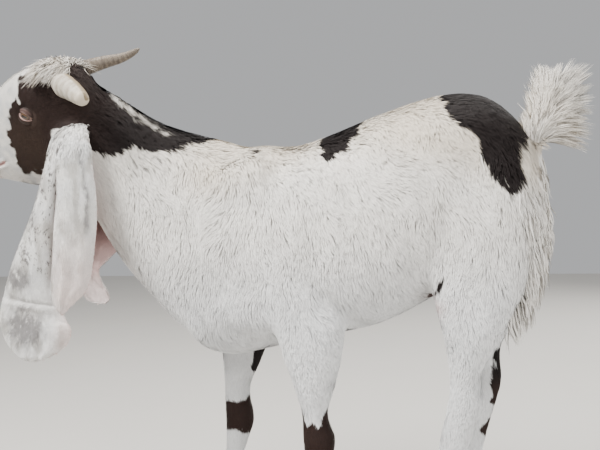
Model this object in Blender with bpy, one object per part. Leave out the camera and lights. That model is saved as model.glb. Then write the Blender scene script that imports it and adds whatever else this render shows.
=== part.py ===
"""Young Nubian goat, life size, standing. Metres, +Z up, nose toward -X, left side toward -Y."""

import math
import random

import bmesh
import bpy
from mathutils import Vector
from mathutils.bvhtree import BVHTree

# Place of the whole animal: the middle of its box on the floor is the origin.
CENTRE_SHIFT = Vector((0.0690, 0.0207, 0.0))

# Clearance between touching pieces.
GAP = 0.0003
HALF_GAP = GAP * 0.5

ACROSS = Vector((0.0, 1.0, 0.0))
GOLDEN_TURN = 2.39996

# Head frame: yaw turns the nose to the right side, roll lowers the left side.
HEAD_YAW = math.radians(8)
HEAD_PITCH = math.radians(8)
HEAD_ROLL = math.radians(17)
HEAD_CENTRE = Vector((-0.415, -0.045, 0.736))
EYE_RADIUS = 0.0125
EYE_PLACE = (-0.007, 0.0375, -0.005)
FISSURE_TILT = math.radians(40)
NECK_CUT = -0.092

# Trunk stations from chest to rump: x, top, bottom, half width, height of widest point (0 low, 1 high).
TRUNK = [
    (-0.188, 0.515, 0.395, 0.040, 0.45),
    (-0.165, 0.590, 0.352, 0.070, 0.45),
    (-0.120, 0.645, 0.336, 0.088, 0.42),
    (-0.060, 0.660, 0.345, 0.096, 0.42),
    (0.000, 0.656, 0.360, 0.104, 0.42),
    (0.060, 0.673, 0.372, 0.113, 0.42),
    (0.130, 0.698, 0.390, 0.119, 0.42),
    (0.200, 0.718, 0.425, 0.113, 0.45),
    (0.250, 0.724, 0.455, 0.100, 0.55),
    (0.295, 0.712, 0.485, 0.086, 0.55),
    (0.335, 0.674, 0.515, 0.070, 0.55),
    (0.362, 0.630, 0.545, 0.045, 0.50),
]

# Neck stations: upper point x, z, lower point x, z, half width, sideways place.
NECK = [
    (-0.040, 0.640, -0.100, 0.400, 0.080, 0.000),
    (-0.120, 0.673, -0.178, 0.372, 0.084, 0.000),
    (-0.172, 0.687, -0.238, 0.425, 0.075, -0.004),
    (-0.222, 0.706, -0.288, 0.486, 0.066, -0.012),
    (-0.268, 0.738, -0.316, 0.540, 0.060, -0.022),
    (-0.308, 0.766, -0.345, 0.590, 0.056, -0.034),
    (-0.350, 0.775, -0.385, 0.630, 0.050, -0.044),
]

# Head stations along the nose line: forward, top, bottom, half width, height of widest point.
HEAD = [
    (-0.108, 0.028, -0.066, 0.030, 0.50),
    (-0.090, 0.050, -0.097, 0.042, 0.55),
    (-0.055, 0.064, -0.121, 0.046, 0.60),
    (-0.020, 0.067, -0.133, 0.047, 0.66),
    (0.015, 0.060, -0.134, 0.043, 0.66),
    (0.050, 0.047, -0.125, 0.036, 0.63),
    (0.085, 0.028, -0.112, 0.030, 0.58),
    (0.115, 0.001, -0.100, 0.027, 0.53),
    (0.138, -0.024, -0.092, 0.024, 0.50),
    (0.152, -0.044, -0.082, 0.017, 0.50),
]

# Leg stations: height, front x, rear x, half width, sideways place for the left side.
FORE_LEFT = [
    (0.560, -0.130, 0.030, 0.040, 0.062),
    (0.480, -0.100, 0.065, 0.042, 0.070),
    (0.400, -0.030, 0.083, 0.034, 0.080),
    (0.346, -0.010, 0.078, 0.029, 0.083),
    (0.300, 0.006, 0.066, 0.023, 0.084),
    (0.262, 0.016, 0.054, 0.019, 0.084),
    (0.228, 0.016, 0.066, 0.023, 0.084),
    (0.200, 0.018, 0.060, 0.019, 0.084),
    (0.160, 0.021, 0.053, 0.0145, 0.084),
    (0.110, 0.021, 0.053, 0.0145, 0.084),
    (0.080, 0.014, 0.055, 0.0185, 0.084),
    (0.056, 0.005, 0.045, 0.018, 0.084),
    (0.034, -0.004, 0.042, 0.020, 0.084),
]
FORE_RIGHT = [
    (0.560, -0.150, 0.010, 0.040, 0.062),
    (0.480, -0.150, 0.010, 0.042, 0.070),
    (0.400, -0.160, -0.040, 0.036, 0.078),
    (0.346, -0.166, -0.078, 0.030, 0.082),
    (0.300, -0.163, -0.101, 0.025, 0.084),
    (0.255, -0.163, -0.120, 0.020, 0.084),
    (0.208, -0.163, -0.113, 0.023, 0.084),
    (0.180, -0.164, -0.122, 0.019, 0.084),
    (0.145, -0.167, -0.134, 0.0145, 0.084),
    (0.105, -0.174, -0.141, 0.0145, 0.084),
    (0.080, -0.184, -0.142, 0.0185, 0.084),
    (0.056, -0.195, -0.154, 0.018, 0.084),
    (0.034, -0.204, -0.158, 0.020, 0.084),
]
HIND_LEFT = [
    (0.620, 0.215, 0.350, 0.042, 0.055),
    (0.540, 0.200, 0.366, 0.050, 0.062),
    (0.460, 0.206, 0.352, 0.042, 0.074),
    (0.405, 0.219, 0.322, 0.035, 0.080),
    (0.352, 0.230, 0.285, 0.026, 0.083),
    (0.315, 0.232, 0.278, 0.020, 0.084),
    (0.286, 0.228, 0.280, 0.019, 0.084),
    (0.250, 0.219, 0.268, 0.0185, 0.084),
    (0.215, 0.212, 0.255, 0.017, 0.084),
    (0.160, 0.200, 0.238, 0.0155, 0.084),
    (0.110, 0.189, 0.225, 0.0155, 0.084),
    (0.080, 0.177, 0.220, 0.019, 0.084),
    (0.056, 0.167, 0.209, 0.018, 0.084),
    (0.034, 0.159, 0.206, 0.020, 0.084),
]
HIND_RIGHT_SHIFT = 0.008
HIND_RIGHT_LOWER_SHIFT = 0.024
HIP_HEIGHT = 0.46

# Horns, in the head frame. Root is the share of the full thickness where the horn leaves the skull.
HORNS = {
    "left": {"sign": 1, "base": (-0.0773, 0.0344, 0.0300), "reach": (-0.0752, 0.0592, -0.0295), "flick": 0.0,
             "radius": 0.0212, "tip": 0.0060, "taper": 0.38, "flat": 0.90, "root": 0.62},
    "right": {"sign": -1, "base": (-0.068, 0.024, 0.036), "reach": (-0.086, 0.076, -0.006), "flick": 0.012,
              "radius": 0.0135, "tip": 0.0022, "taper": 0.62, "flat": 0.80, "root": 1.0},
}
HORN_ARCH = 0.004
HORN_SIDES = 10
HORN_STEPS = 8
HORN_ROOT_END = 0.25

# Ears, from root to tip: front edge x, z, rear edge x, z, sideways place.
LEFT_EAR = [
    (-0.358, 0.703, -0.334, 0.705, -0.080),
    (-0.360, 0.688, -0.300, 0.690, -0.107),
    (-0.367, 0.642, -0.289, 0.650, -0.118),
    (-0.376, 0.596, -0.284, 0.597, -0.119),
    (-0.406, 0.547, -0.289, 0.537, -0.120),
    (-0.433, 0.500, -0.302, 0.480, -0.121),
    (-0.448, 0.451, -0.322, 0.436, -0.122),
    (-0.455, 0.410, -0.338, 0.404, -0.124),
    (-0.451, 0.375, -0.340, 0.377, -0.127),
    (-0.430, 0.351, -0.358, 0.352, -0.129),
    (-0.404, 0.341, -0.385, 0.341, -0.130),
]
RIGHT_EAR = [
    (-0.366, 0.722, -0.340, 0.724, 0.000),
    (-0.384, 0.706, -0.328, 0.713, 0.026),
    (-0.400, 0.655, -0.313, 0.662, 0.044),
    (-0.408, 0.605, -0.309, 0.603, 0.050),
    (-0.412, 0.553, -0.312, 0.548, 0.050),
    (-0.413, 0.512, -0.320, 0.510, 0.048),
    (-0.411, 0.484, -0.350, 0.482, 0.045),
    (-0.408, 0.464, -0.364, 0.462, 0.042),
    (-0.402, 0.444, -0.352, 0.441, 0.038),
    (-0.394, 0.425, -0.340, 0.421, 0.032),
    (-0.376, 0.410, -0.349, 0.410, 0.026),
]
EAR_STEPS = 17
EAR_COLUMNS = 8
EAR_ROOT_SHARE = 0.35
EAR_THICK = 0.0042
EAR_CUP = 0.017
EAR_GROOVE = 0.010
EAR_FLAP = 0.006

# Tail: middle line of the dock x, z and half width, and its cut from the rump.
TAIL_LINE = [
    (0.335, 0.618, 0.017),
    (0.356, 0.646, 0.017),
    (0.366, 0.672, 0.015),
    (0.374, 0.694, 0.011),
    (0.379, 0.706, 0.006),
]
TAIL_CUT = (0.352, 0.641)
TAIL_LOCKS = 25

TAIL_LOCK_LENGTH = 0.052
TAIL_LOCK_WIDTH = 0.026
TAIL_LOCK_THICK = 0.0055
TAIL_CLEARANCE = 0.03

# Lying locks: how deep their roots sit in the body, and how thick they are.
LOCK_SUNK = 0.0055
LOCK_THICK = 0.0048
# Locks down the back of the rump: lowest and highest row, rows, locks in a row, widest place sideways.
RUMP_LOCKS = {"low": 0.492, "high": 0.600, "rows": 5, "columns": 5, "middle": 0.0, "spread": 0.088,
              "seed": 11}
LEFT_THIGH_LOCKS = {"low": 0.385, "high": 0.418, "rows": 2, "columns": 3, "middle": -0.070, "spread": 0.030,
                    "seed": 12}
RIGHT_THIGH_LOCKS = {"low": 0.385, "high": 0.418, "rows": 2, "columns": 3, "middle": 0.070, "spread": 0.030,
                     "seed": 13}
CREST_START = -0.300
CREST_STEP = 0.020
CREST_PAIRS = 9
POLL_ROWS = (-0.030, -0.046, -0.062)
POLL_COLUMNS = 4
POLL_SPACING = 0.0125

# Lids, in degrees round the eyeball: half length of the slit, its edges, and how far each lid reaches.
LID_HALF_LENGTH = 68
LIDS = {"upper": (14, 74), "lower": (-13, -66)}
LID_COLUMNS = 8
LID_ROWS = 3
LID_INNER = EYE_RADIUS - 0.0008
LID_OUTER = EYE_RADIUS + 0.0026

# Line between the lips: forward and up in the head frame, and its height.
MOUTH_LINE = [(0.084, -0.072), (0.105, -0.0745), (0.130, -0.077), (0.165, -0.077)]
MOUTH_SLIT = 0.0014
NOSTRIL_PLACE = (0.1475, 0.0165, -0.0465)
NOSTRIL_RADII = (0.0085, 0.0060, 0.0036)

# Rounded forms of the head, in the head frame: place with its left copy, radii.
HEAD_FORMS = {
    "brow": ((-0.002, 0.030, 0.006), (0.026, 0.0195, 0.022)),
    "cheek": ((-0.022, 0.024, -0.062), (0.045, 0.021, 0.050)),
    "nostril_side": ((0.134, 0.012, -0.046), (0.016, 0.012, 0.013)),
    "upper_lip": ((0.128, 0.013, -0.066), (0.020, 0.012, 0.011)),
}
MIDDLE_FORMS = {
    "chin": ((0.118, 0.0, -0.090), (0.021, 0.017, 0.012)),
    "poll": ((-0.070, 0.0, 0.048), (0.032, 0.026, 0.018)),
}
# Rounded muscles: place, radii. The shoulder leans with the blade bone.
SHOULDER_X = {-1: -0.085, 1: -0.105}
SHOULDER_PLACE = (0.062, 0.53)
SHOULDER_RADII = (0.125, 0.040, 0.062)
SHOULDER_LEAN = (0.35, 0.94)
UPPER_ARM_PLACE = (0.035, 0.070, 0.435)
UPPER_ARM_RADII = (0.065, 0.036, 0.055)
HAUNCH = ((0.285, 0.064, 0.545), (0.080, 0.046, 0.105))
HIP = ((0.245, 0.058, 0.665), (0.055, 0.030, 0.034))
DEWCLAW_HEIGHT = 0.074
DEWCLAW_ASIDE = 0.010
DEWCLAW_RADII = (0.0075, 0.0060, 0.0090)

# Claws: half width, distance from the leg's middle, and rings of height, size and lean.
HOOF_HALF = 0.0105
HOOF_ASIDE = 0.0115
HOOF_RINGS = [(0.0, 1.0, 0.0), (0.012, 0.97, 0.003), (0.024, 0.90, 0.007), (0.032, 0.82, 0.010)]
HOOF_SIDES = 10
HOOF_FRONT = 0.012
HOOF_REAR = 0.004

# Thin plates that part the body: centre, facing, half length and half width.
PLATES = [
    ((-0.155, 0.0, 0.530), (-0.85, 0.0, 0.53), 0.20, 0.28),
    ((0.190, 0.0, 0.570), (1.0, 0.0, 0.0), 0.20, 0.19),
    ((0.300, 0.0, 0.432), (0.0, 0.0, 1.0), 0.20, 0.109),
    ((-0.030, -0.1, 0.330), (0.0, 0.0, 1.0), 0.08, 0.16),
    ((-0.030, 0.1, 0.330), (0.0, 0.0, 1.0), 0.08, 0.16),
    ((-0.030, -0.1, 0.188), (0.0, 0.0, 1.0), 0.08, 0.18),
    ((-0.030, 0.1, 0.188), (0.0, 0.0, 1.0), 0.08, 0.18),
    ((0.260, -0.1, 0.262), (0.0, 0.0, 1.0), 0.08, 0.10),
    ((0.260, 0.1, 0.262), (0.0, 0.0, 1.0), 0.08, 0.10),
]
# Rough middle of each piece of the body, to tell the parted pieces from each other.
BODY_PLACES = {
    "neck": (-0.26, 0.0, 0.60),
    "torso": (0.03, 0.0, 0.53),
    "rump": (0.28, 0.0, 0.57),
    "foreleg_left_upper": (0.04, -0.084, 0.26),
    "foreleg_right_upper": (-0.13, 0.084, 0.26),
    "foreleg_left_lower": (0.035, -0.084, 0.11),
    "foreleg_right_lower": (-0.16, 0.084, 0.11),
    "hindleg_left_upper": (0.27, -0.08, 0.36),
    "hindleg_right_upper": (0.28, 0.08, 0.36),
    "hindleg_left_lower": (0.21, -0.084, 0.15),
    "hindleg_right_lower": (0.235, 0.084, 0.15),
}
SMALLEST_PIECE = 0.004

WHITE = (0.86, 0.83, 0.78)
BROWN = (0.045, 0.028, 0.022)
EAR_COLOUR = (0.74, 0.70, 0.66)
HOOF_COLOUR = (0.16, 0.13, 0.10)
HORN_COLOUR = (0.36, 0.31, 0.25)
EYE_COLOUR = (0.02, 0.010, 0.006)

VOXEL = 0.0045
HEAD_RATIO = 0.064
BODY_RATIO = 0.029


def clear_scene():
    for item in list(bpy.data.objects):
        bpy.data.objects.remove(item, do_unlink=True)


def material(name, colour, roughness):
    made = bpy.data.materials.new(name)
    made.use_nodes = True
    shader = made.node_tree.nodes["Principled BSDF"]
    shader.inputs["Base Color"].default_value = (*colour, 1.0)
    shader.inputs["Roughness"].default_value = roughness
    shader.inputs["Metallic"].default_value = 0.0
    made.diffuse_color = (*colour, 1.0)
    return made


def link_object(name, mesh):
    made = bpy.data.objects.new(name, mesh)
    bpy.context.scene.collection.objects.link(made)
    return made


def mesh_from(name, points, faces):
    mesh = bpy.data.meshes.new(name)
    mesh.from_pydata([tuple(p) for p in points], [], faces)
    mesh.update()
    return mesh


def head_axes():
    forward = Vector((-math.cos(HEAD_YAW) * math.cos(HEAD_PITCH),
                      math.sin(HEAD_YAW) * math.cos(HEAD_PITCH),
                      -math.sin(HEAD_PITCH)))
    level = Vector((-math.sin(HEAD_YAW), -math.cos(HEAD_YAW), 0.0))
    upright = forward.cross(level)
    left = level * math.cos(HEAD_ROLL) - upright * math.sin(HEAD_ROLL)
    up = upright * math.cos(HEAD_ROLL) + level * math.sin(HEAD_ROLL)
    return forward, left, up


FORWARD, LEFT, UP = head_axes()
HEAD_AXES = (FORWARD, LEFT, UP)


def head_point(forward, left, up):
    return HEAD_CENTRE + FORWARD * forward + LEFT * left + UP * up


def blend(values, t):
    """Catmull and Rom curve through equally spaced values, t from 0 to len - 1."""
    last = len(values) - 1
    k = min(int(t), last - 1)
    f = t - k
    before = values[max(k - 1, 0)]
    start = values[k]
    end = values[k + 1]
    after = values[min(k + 2, last)]
    result = []
    for a, b, c, d in zip(before, start, end, after):
        result.append(0.5 * (2 * b + (c - a) * f + (2 * a - 5 * b + 4 * c - d) * f * f
                             + (3 * b - a - 3 * c + d) * f ** 3))
    return result


def tube_of(name, rings):
    """Closed tube through rings that all have the same number of points."""
    sides = len(rings[0])
    points = [p for ring in rings for p in ring]
    faces = []
    for r in range(len(rings) - 1):
        for s in range(sides):
            n = (s + 1) % sides
            faces.append((r * sides + s, r * sides + n, (r + 1) * sides + n, (r + 1) * sides + s))
    faces.append(tuple(reversed(range(sides))))
    start = (len(rings) - 1) * sides
    faces.append(tuple(start + s for s in range(sides)))
    made = link_object(name, mesh_from(name, points, faces))
    outward(made)
    return made


def loft(name, stations, side, sides=20, steps=4, square=0.9):
    """Closed tube. A station is upper point, lower point, half width and height of the widest point."""
    rings = []
    count = (len(stations) - 1) * steps
    for k in range(count + 1):
        values = blend(stations, k / steps)
        upper = Vector(values[0:3])
        lower = Vector(values[3:6])
        half = max(values[6], 0.001)
        middle = lower.lerp(upper, values[7])
        ring = []
        for s in range(sides):
            turn = 2 * math.pi * s / sides
            c = math.cos(turn)
            w = math.sin(turn)
            c = math.copysign(abs(c) ** square, c)
            w = math.copysign(abs(w) ** square, w)
            reach = (upper - middle) * c if c > 0 else (middle - lower) * c
            ring.append(middle + reach + side * (half * w))
        rings.append(ring)
    return tube_of(name, rings)


def outward(item):
    shape = bmesh.new()
    shape.from_mesh(item.data)
    bmesh.ops.recalc_face_normals(shape, faces=shape.faces)
    shape.to_mesh(item.data)
    shape.free()


def blob(name, centre, axes, radii, rings=10):
    shape = bmesh.new()
    bmesh.ops.create_uvsphere(shape, u_segments=rings * 2, v_segments=rings, radius=1.0)
    for vert in shape.verts:
        local = vert.co.copy()
        vert.co = centre + axes[0] * (local.x * radii[0]) + axes[1] * (local.y * radii[1]) \
            + axes[2] * (local.z * radii[2])
    bmesh.ops.recalc_face_normals(shape, faces=shape.faces)
    mesh = bpy.data.meshes.new(name)
    shape.to_mesh(mesh)
    shape.free()
    return link_object(name, mesh)


def slab(name, centre, normal, across, half_long, half_wide, half_thick):
    """Thin plate to part two pieces, centred on a point, facing normal."""
    normal = Vector(normal).normalized()
    across = Vector(across)
    across = (across - normal * across.dot(normal)).normalized()
    other = normal.cross(across)
    shape = bmesh.new()
    bmesh.ops.create_cube(shape, size=2.0)
    for vert in shape.verts:
        local = vert.co.copy()
        vert.co = Vector(centre) + across * (local.x * half_long) + other * (local.y * half_wide) \
            + normal * (local.z * half_thick)
    bmesh.ops.recalc_face_normals(shape, faces=shape.faces)
    mesh = bpy.data.meshes.new(name)
    shape.to_mesh(mesh)
    shape.free()
    return link_object(name, mesh)


def bake(item):
    """Replace an object's mesh by its evaluated mesh and drop its modifiers."""
    graph = bpy.context.evaluated_depsgraph_get()
    graph.update()
    mesh = bpy.data.meshes.new_from_object(item.evaluated_get(graph))
    item.modifiers.clear()
    item.data = mesh
    return item


def join(name, items):
    shape = bmesh.new()
    for item in items:
        shape.from_mesh(item.data)
    mesh = bpy.data.meshes.new(name)
    shape.to_mesh(mesh)
    shape.free()
    for item in items:
        bpy.data.objects.remove(item, do_unlink=True)
    return link_object(name, mesh)


def boolean(target, cutters, operation, solver="EXACT"):
    """One Boolean with a collection of closed objects, applied, and the objects removed."""
    group = bpy.data.collections.new("pieces")
    bpy.context.scene.collection.children.link(group)
    for item in cutters:
        group.objects.link(item)
        item.hide_render = True
        item.display_type = "WIRE"
    cut = target.modifiers.new("Boolean", "BOOLEAN")
    cut.operation = operation
    cut.operand_type = "COLLECTION"
    cut.collection = group
    cut.solver = solver
    bake(target)
    for item in cutters:
        bpy.data.objects.remove(item, do_unlink=True)
    bpy.data.collections.remove(group)
    return target


def shells(item):
    """Loose closed surfaces of a mesh, as lists of face indices."""
    shape = bmesh.new()
    shape.from_mesh(item.data)
    shape.faces.ensure_lookup_table()
    seen = set()
    groups = []
    for face in shape.faces:
        if face.index in seen:
            continue
        stack = [face]
        seen.add(face.index)
        group = []
        while stack:
            here = stack.pop()
            group.append(here.index)
            for edge in here.edges:
                for other in edge.link_faces:
                    if other.index not in seen:
                        seen.add(other.index)
                        stack.append(other)
        groups.append(group)
    shape.free()
    return groups


def keep_shell(item, group):
    shape = bmesh.new()
    shape.from_mesh(item.data)
    shape.faces.ensure_lookup_table()
    wanted = set(group)
    drop = [f for f in shape.faces if f.index not in wanted]
    bmesh.ops.delete(shape, geom=drop, context="FACES")
    loose = [v for v in shape.verts if not v.link_faces]
    bmesh.ops.delete(shape, geom=loose, context="VERTS")
    shape.to_mesh(item.data)
    shape.free()


def largest(item):
    """Keep only the largest closed surface."""
    def size(group):
        faces = item.data.polygons
        total = 0.0
        for k in group:
            face = faces[k]
            total += face.area
        return total
    keep_shell(item, max(shells(item), key=size))
    return item


def voxel(item, size, smooth):
    remesh = item.modifiers.new("Remesh", "REMESH")
    remesh.mode = "VOXEL"
    remesh.voxel_size = size
    soften = item.modifiers.new("Smooth", "SMOOTH")
    soften.factor = 0.5
    soften.iterations = smooth
    return bake(item)


def thin_out(item, ratio):
    fewer = item.modifiers.new("Decimate", "DECIMATE")
    fewer.ratio = ratio
    return bake(item)


def copy_of(item, name):
    return link_object(name, item.data.copy())


def keep_side(item, point, normal):
    """Cut by a plane, keep what is on the normal's side, close the cut."""
    shape = bmesh.new()
    shape.from_mesh(item.data)
    everything = shape.verts[:] + shape.edges[:] + shape.faces[:]
    result = bmesh.ops.bisect_plane(shape, geom=everything, plane_co=point, plane_no=normal,
                                    clear_inner=True, dist=1e-6)
    rim = [e for e in result["geom_cut"] if isinstance(e, bmesh.types.BMEdge)]
    bmesh.ops.triangle_fill(shape, edges=rim, use_beauty=True)
    bmesh.ops.recalc_face_normals(shape, faces=shape.faces)
    shape.to_mesh(item.data)
    shape.free()
    return item


def finish(item, name, colour):
    item.name = name
    item.data.name = name
    item.data.materials.clear()
    item.data.materials.append(colour)
    item.data.shade_smooth()
    item.data.set_sharp_from_angle(angle=math.radians(50))
    item.location = CENTRE_SHIFT


def upright_leg(name, stations, sign, side, shift=0.0, lower_shift=0.0):
    """Leg from its shoulder or hip to the top of the hoof."""
    rows = []
    for height, front, rear, half, place in stations:
        x = shift + lower_shift * max(0.0, (HIP_HEIGHT - height) / HIP_HEIGHT)
        rows.append((front + x, sign * place, height, rear + x, sign * place, height, half, 0.5))
    return loft(name, rows, side, sides=16, steps=4, square=0.95)


def muscles():
    """Rounded shoulder, upper arm, haunch and hip of both sides."""
    axes = (Vector((1, 0, 0)), ACROSS, Vector((0, 0, 1)))
    slant, rise = SHOULDER_LEAN
    lean = (Vector((slant, 0, rise)), ACROSS, Vector((rise, 0, -slant)))
    pieces = []
    for sign, x in SHOULDER_X.items():
        place = Vector((x, sign * SHOULDER_PLACE[0], SHOULDER_PLACE[1]))
        pieces.append(blob("shoulder", place, lean, SHOULDER_RADII))
        place = Vector((x + UPPER_ARM_PLACE[0], sign * UPPER_ARM_PLACE[1], UPPER_ARM_PLACE[2]))
        pieces.append(blob("upper_arm", place, axes, UPPER_ARM_RADII))
    for sign in (-1, 1):
        for name, (place, radii) in (("haunch", HAUNCH), ("hip", HIP)):
            pieces.append(blob(name, Vector((place[0], sign * place[1], place[2])), axes, radii))
    return pieces


def dewclaws():
    axes = (Vector((1, 0, 0)), ACROSS, Vector((0, 0, 1)))
    moved = HIND_RIGHT_SHIFT + HIND_RIGHT_LOWER_SHIFT * (HIP_HEIGHT - DEWCLAW_HEIGHT) / HIP_HEIGHT
    pieces = []
    for stations, sign, shift in ((FORE_LEFT, -1, 0.0), (FORE_RIGHT, 1, 0.0), (HIND_LEFT, -1, 0.0),
                                  (HIND_LEFT, 1, moved)):
        rear, place = stations[-3][2], stations[-3][4]
        for aside in (-DEWCLAW_ASIDE, DEWCLAW_ASIDE):
            pieces.append(blob("dewclaw", Vector((rear + shift, sign * place + aside, DEWCLAW_HEIGHT)), axes,
                               DEWCLAW_RADII, rings=6))
    return pieces


def trunk_pieces():
    trunk = [(x, 0.0, top, x, 0.0, low, half, widest) for x, top, low, half, widest in TRUNK]
    neck = [(ux, y, uz, lx, y, lz, half, 0.45) for ux, uz, lx, lz, half, y in NECK]
    pieces = [loft("trunk", trunk, ACROSS, sides=28, square=0.86)]
    pieces.append(loft("neck_tube", neck, ACROSS, sides=24, square=0.92))
    pieces.append(upright_leg("fore_left", FORE_LEFT, -1, ACROSS))
    pieces.append(upright_leg("fore_right", FORE_RIGHT, 1, ACROSS))
    pieces.append(upright_leg("hind_left", HIND_LEFT, -1, ACROSS))
    pieces.append(upright_leg("hind_right", HIND_LEFT, 1, ACROSS, HIND_RIGHT_SHIFT, HIND_RIGHT_LOWER_SHIFT))
    return pieces + muscles() + dewclaws()


def head_pieces():
    rows = []
    for forward, top, low, half, widest in HEAD:
        upper = head_point(forward, 0, top)
        lower = head_point(forward, 0, low)
        rows.append((*upper, *lower, half, widest))
    pieces = [loft("skull", rows, LEFT, sides=28, square=0.88)]
    for name, (place, radii) in HEAD_FORMS.items():
        for sign in (-1, 1):
            pieces.append(blob(name, head_point(place[0], sign * place[1], place[2]), HEAD_AXES, radii))
    for name, (place, radii) in MIDDLE_FORMS.items():
        pieces.append(blob(name, head_point(*place), HEAD_AXES, radii))
    return pieces


def eye_centre(sign):
    return head_point(EYE_PLACE[0], sign * EYE_PLACE[1], EYE_PLACE[2])


def socket_cutter(sign):
    return blob("socket", eye_centre(sign), HEAD_AXES, (EYE_RADIUS + GAP,) * 3, rings=10)


def mouth_cutters():
    """The slit between the lips and the two nostrils."""
    rows = []
    for forward, up in MOUTH_LINE:
        upper = head_point(forward, 0, up + MOUTH_SLIT * 0.5)
        lower = head_point(forward, 0, up - MOUTH_SLIT * 0.5)
        rows.append((*upper, *lower, 0.045, 0.5))
    cutters = [loft("mouth_cut", rows, LEFT, sides=8, steps=1, square=0.5)]
    slant = (FORWARD * 0.80 - UP * 0.60, LEFT, FORWARD * 0.60 + UP * 0.80)
    for sign in (-1, 1):
        place = head_point(NOSTRIL_PLACE[0], sign * NOSTRIL_PLACE[1], NOSTRIL_PLACE[2])
        cutters.append(blob("nostril_cut", place, slant, NOSTRIL_RADII, rings=5))
    return cutters


def closed_sheet(name, front, back):
    """Closed shell between two grids of points of the same size."""
    rows = len(front)
    columns = len(front[0])
    layer = rows * columns
    points = [p for row in front for p in row] + [p for row in back for p in row]
    faces = []
    for r in range(rows - 1):
        for c in range(columns - 1):
            a = r * columns + c
            b, d, e = a + 1, a + columns, a + columns + 1
            faces.append((a, b, e))
            faces.append((a, e, d))
            faces.append((layer + a, layer + e, layer + b))
            faces.append((layer + a, layer + d, layer + e))
    rim = [c for c in range(columns)]
    rim += [r * columns + columns - 1 for r in range(1, rows)]
    rim += [(rows - 1) * columns + c for c in range(columns - 2, -1, -1)]
    rim += [r * columns for r in range(rows - 2, 0, -1)]
    for k, a in enumerate(rim):
        b = rim[(k + 1) % len(rim)]
        faces.append((a, b, layer + b, layer + a))
    made = link_object(name, mesh_from(name, points, faces))
    outward(made)
    return made


def lid(sign, name):
    """A thin shell over the eyeball, from its edge at the slit out to the brow or cheek."""
    centre = eye_centre(sign)
    out = LEFT * sign
    along = FORWARD * math.cos(FISSURE_TILT) + UP * math.sin(FISSURE_TILT)
    rise = UP * math.cos(FISSURE_TILT) - FORWARD * math.sin(FISSURE_TILT)
    edge, reach = (math.radians(angle) for angle in LIDS[name])
    layers = []
    for radius in (LID_INNER, LID_OUTER):
        grid = []
        for c in range(LID_COLUMNS + 1):
            share = -1 + 2 * c / LID_COLUMNS
            swing = math.radians(LID_HALF_LENGTH * share)
            open_part = math.cos(share * math.pi * 0.5)
            row = []
            for r in range(LID_ROWS + 1):
                lift = edge * open_part + (reach - edge * open_part) * r / LID_ROWS
                direction = out * math.cos(lift) + rise * math.sin(lift)
                row.append(centre + (direction * math.cos(swing) + along * math.sin(swing)) * radius)
            grid.append(row)
        layers.append(grid)
    return closed_sheet("lid", layers[0], layers[1])


def horn(name, sizes, extra=0.0):
    """Horn out of the skull, back and outward; flick turns its tip up."""
    base = Vector(sizes["base"])
    reach = Vector(sizes["reach"])

    def middle(t):
        lift = math.sin(math.pi * t) * HORN_ARCH + max(0.0, (t - 0.6) / 0.4) ** 2 * sizes["flick"]
        local = base + reach * t + Vector((0.0, 0.0, lift))
        return head_point(local.x, sizes["sign"] * local.y, local.z)

    rings = []
    for k in range(HORN_STEPS + 1):
        t = k / HORN_STEPS
        here = middle(t)
        along = (middle(t + 0.01) - here).normalized()
        full = sizes["root"] + (1 - sizes["root"]) * min(1.0, t / HORN_ROOT_END)
        radius = ((sizes["radius"] - sizes["tip"]) * (1 - t) ** sizes["taper"] + sizes["tip"]) * full + extra
        first = along.cross(FORWARD).normalized()
        second = along.cross(first).normalized()
        ring = []
        for s in range(HORN_SIDES):
            turn = 2 * math.pi * s / HORN_SIDES
            away = first * math.cos(turn) + second * math.sin(turn) * sizes["flat"]
            ring.append(here + away * radius)
        rings.append(ring)
    return tube_of(name, rings)


def ear(name, edges, sign, extra=0.0, last=1.0):
    """Long hanging ear: a cupped blade with a lengthwise fold and a rounded lobe, closed all round."""
    out = Vector((0.0, float(sign), 0.0))
    front = []
    back = []
    for k in range(int(EAR_STEPS * last) + 1):
        t = k / EAR_STEPS
        fx, fz, rx, rz, y = blend(edges, t * (len(edges) - 1))
        middle = Vector(((fx + rx) * 0.5, y, (fz + rz) * 0.5))
        width = Vector((rx - fx, 0.0, rz - fz)) * 0.5
        width = width * (1 + extra / max(width.length, 0.004))
        open_part = min(1.0, width.length / 0.035)
        fold = min(1.0, max(0.0, t - 0.05) * 6) * max(0.0, 1 - max(0.0, t - 0.70) * 9)
        front_row = []
        back_row = []
        for c in range(EAR_COLUMNS + 1):
            v = -1 + 2 * c / EAR_COLUMNS
            swell = EAR_CUP * (1 - v * v) * open_part
            groove = EAR_GROOVE * math.exp(-((v - 0.12) / 0.2) ** 2) * fold
            flap = EAR_FLAP * min(1.0, max(0.0, (v - 0.12) * 4)) * fold
            place = middle + width * v + out * (swell - groove + flap)
            thick = (EAR_THICK * (1 - 0.5 * v * v) + 2 * extra) * 0.5
            front_row.append(place + out * thick)
            back_row.append(place - out * thick)
        front.append(front_row)
        back.append(back_row)
    return closed_sheet(name, front, back)


def horn_cutters():
    return [horn("horn_cut", sizes, extra=GAP) for sizes in HORNS.values()]


def ear_cutters():
    """Upper part of both ears, a little thicker, to clear what they grow from."""
    return [ear("ear_cut_left", LEFT_EAR, -1, extra=GAP, last=EAR_ROOT_SHARE),
            ear("ear_cut_right", RIGHT_EAR, 1, extra=GAP, last=EAR_ROOT_SHARE)]


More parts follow.
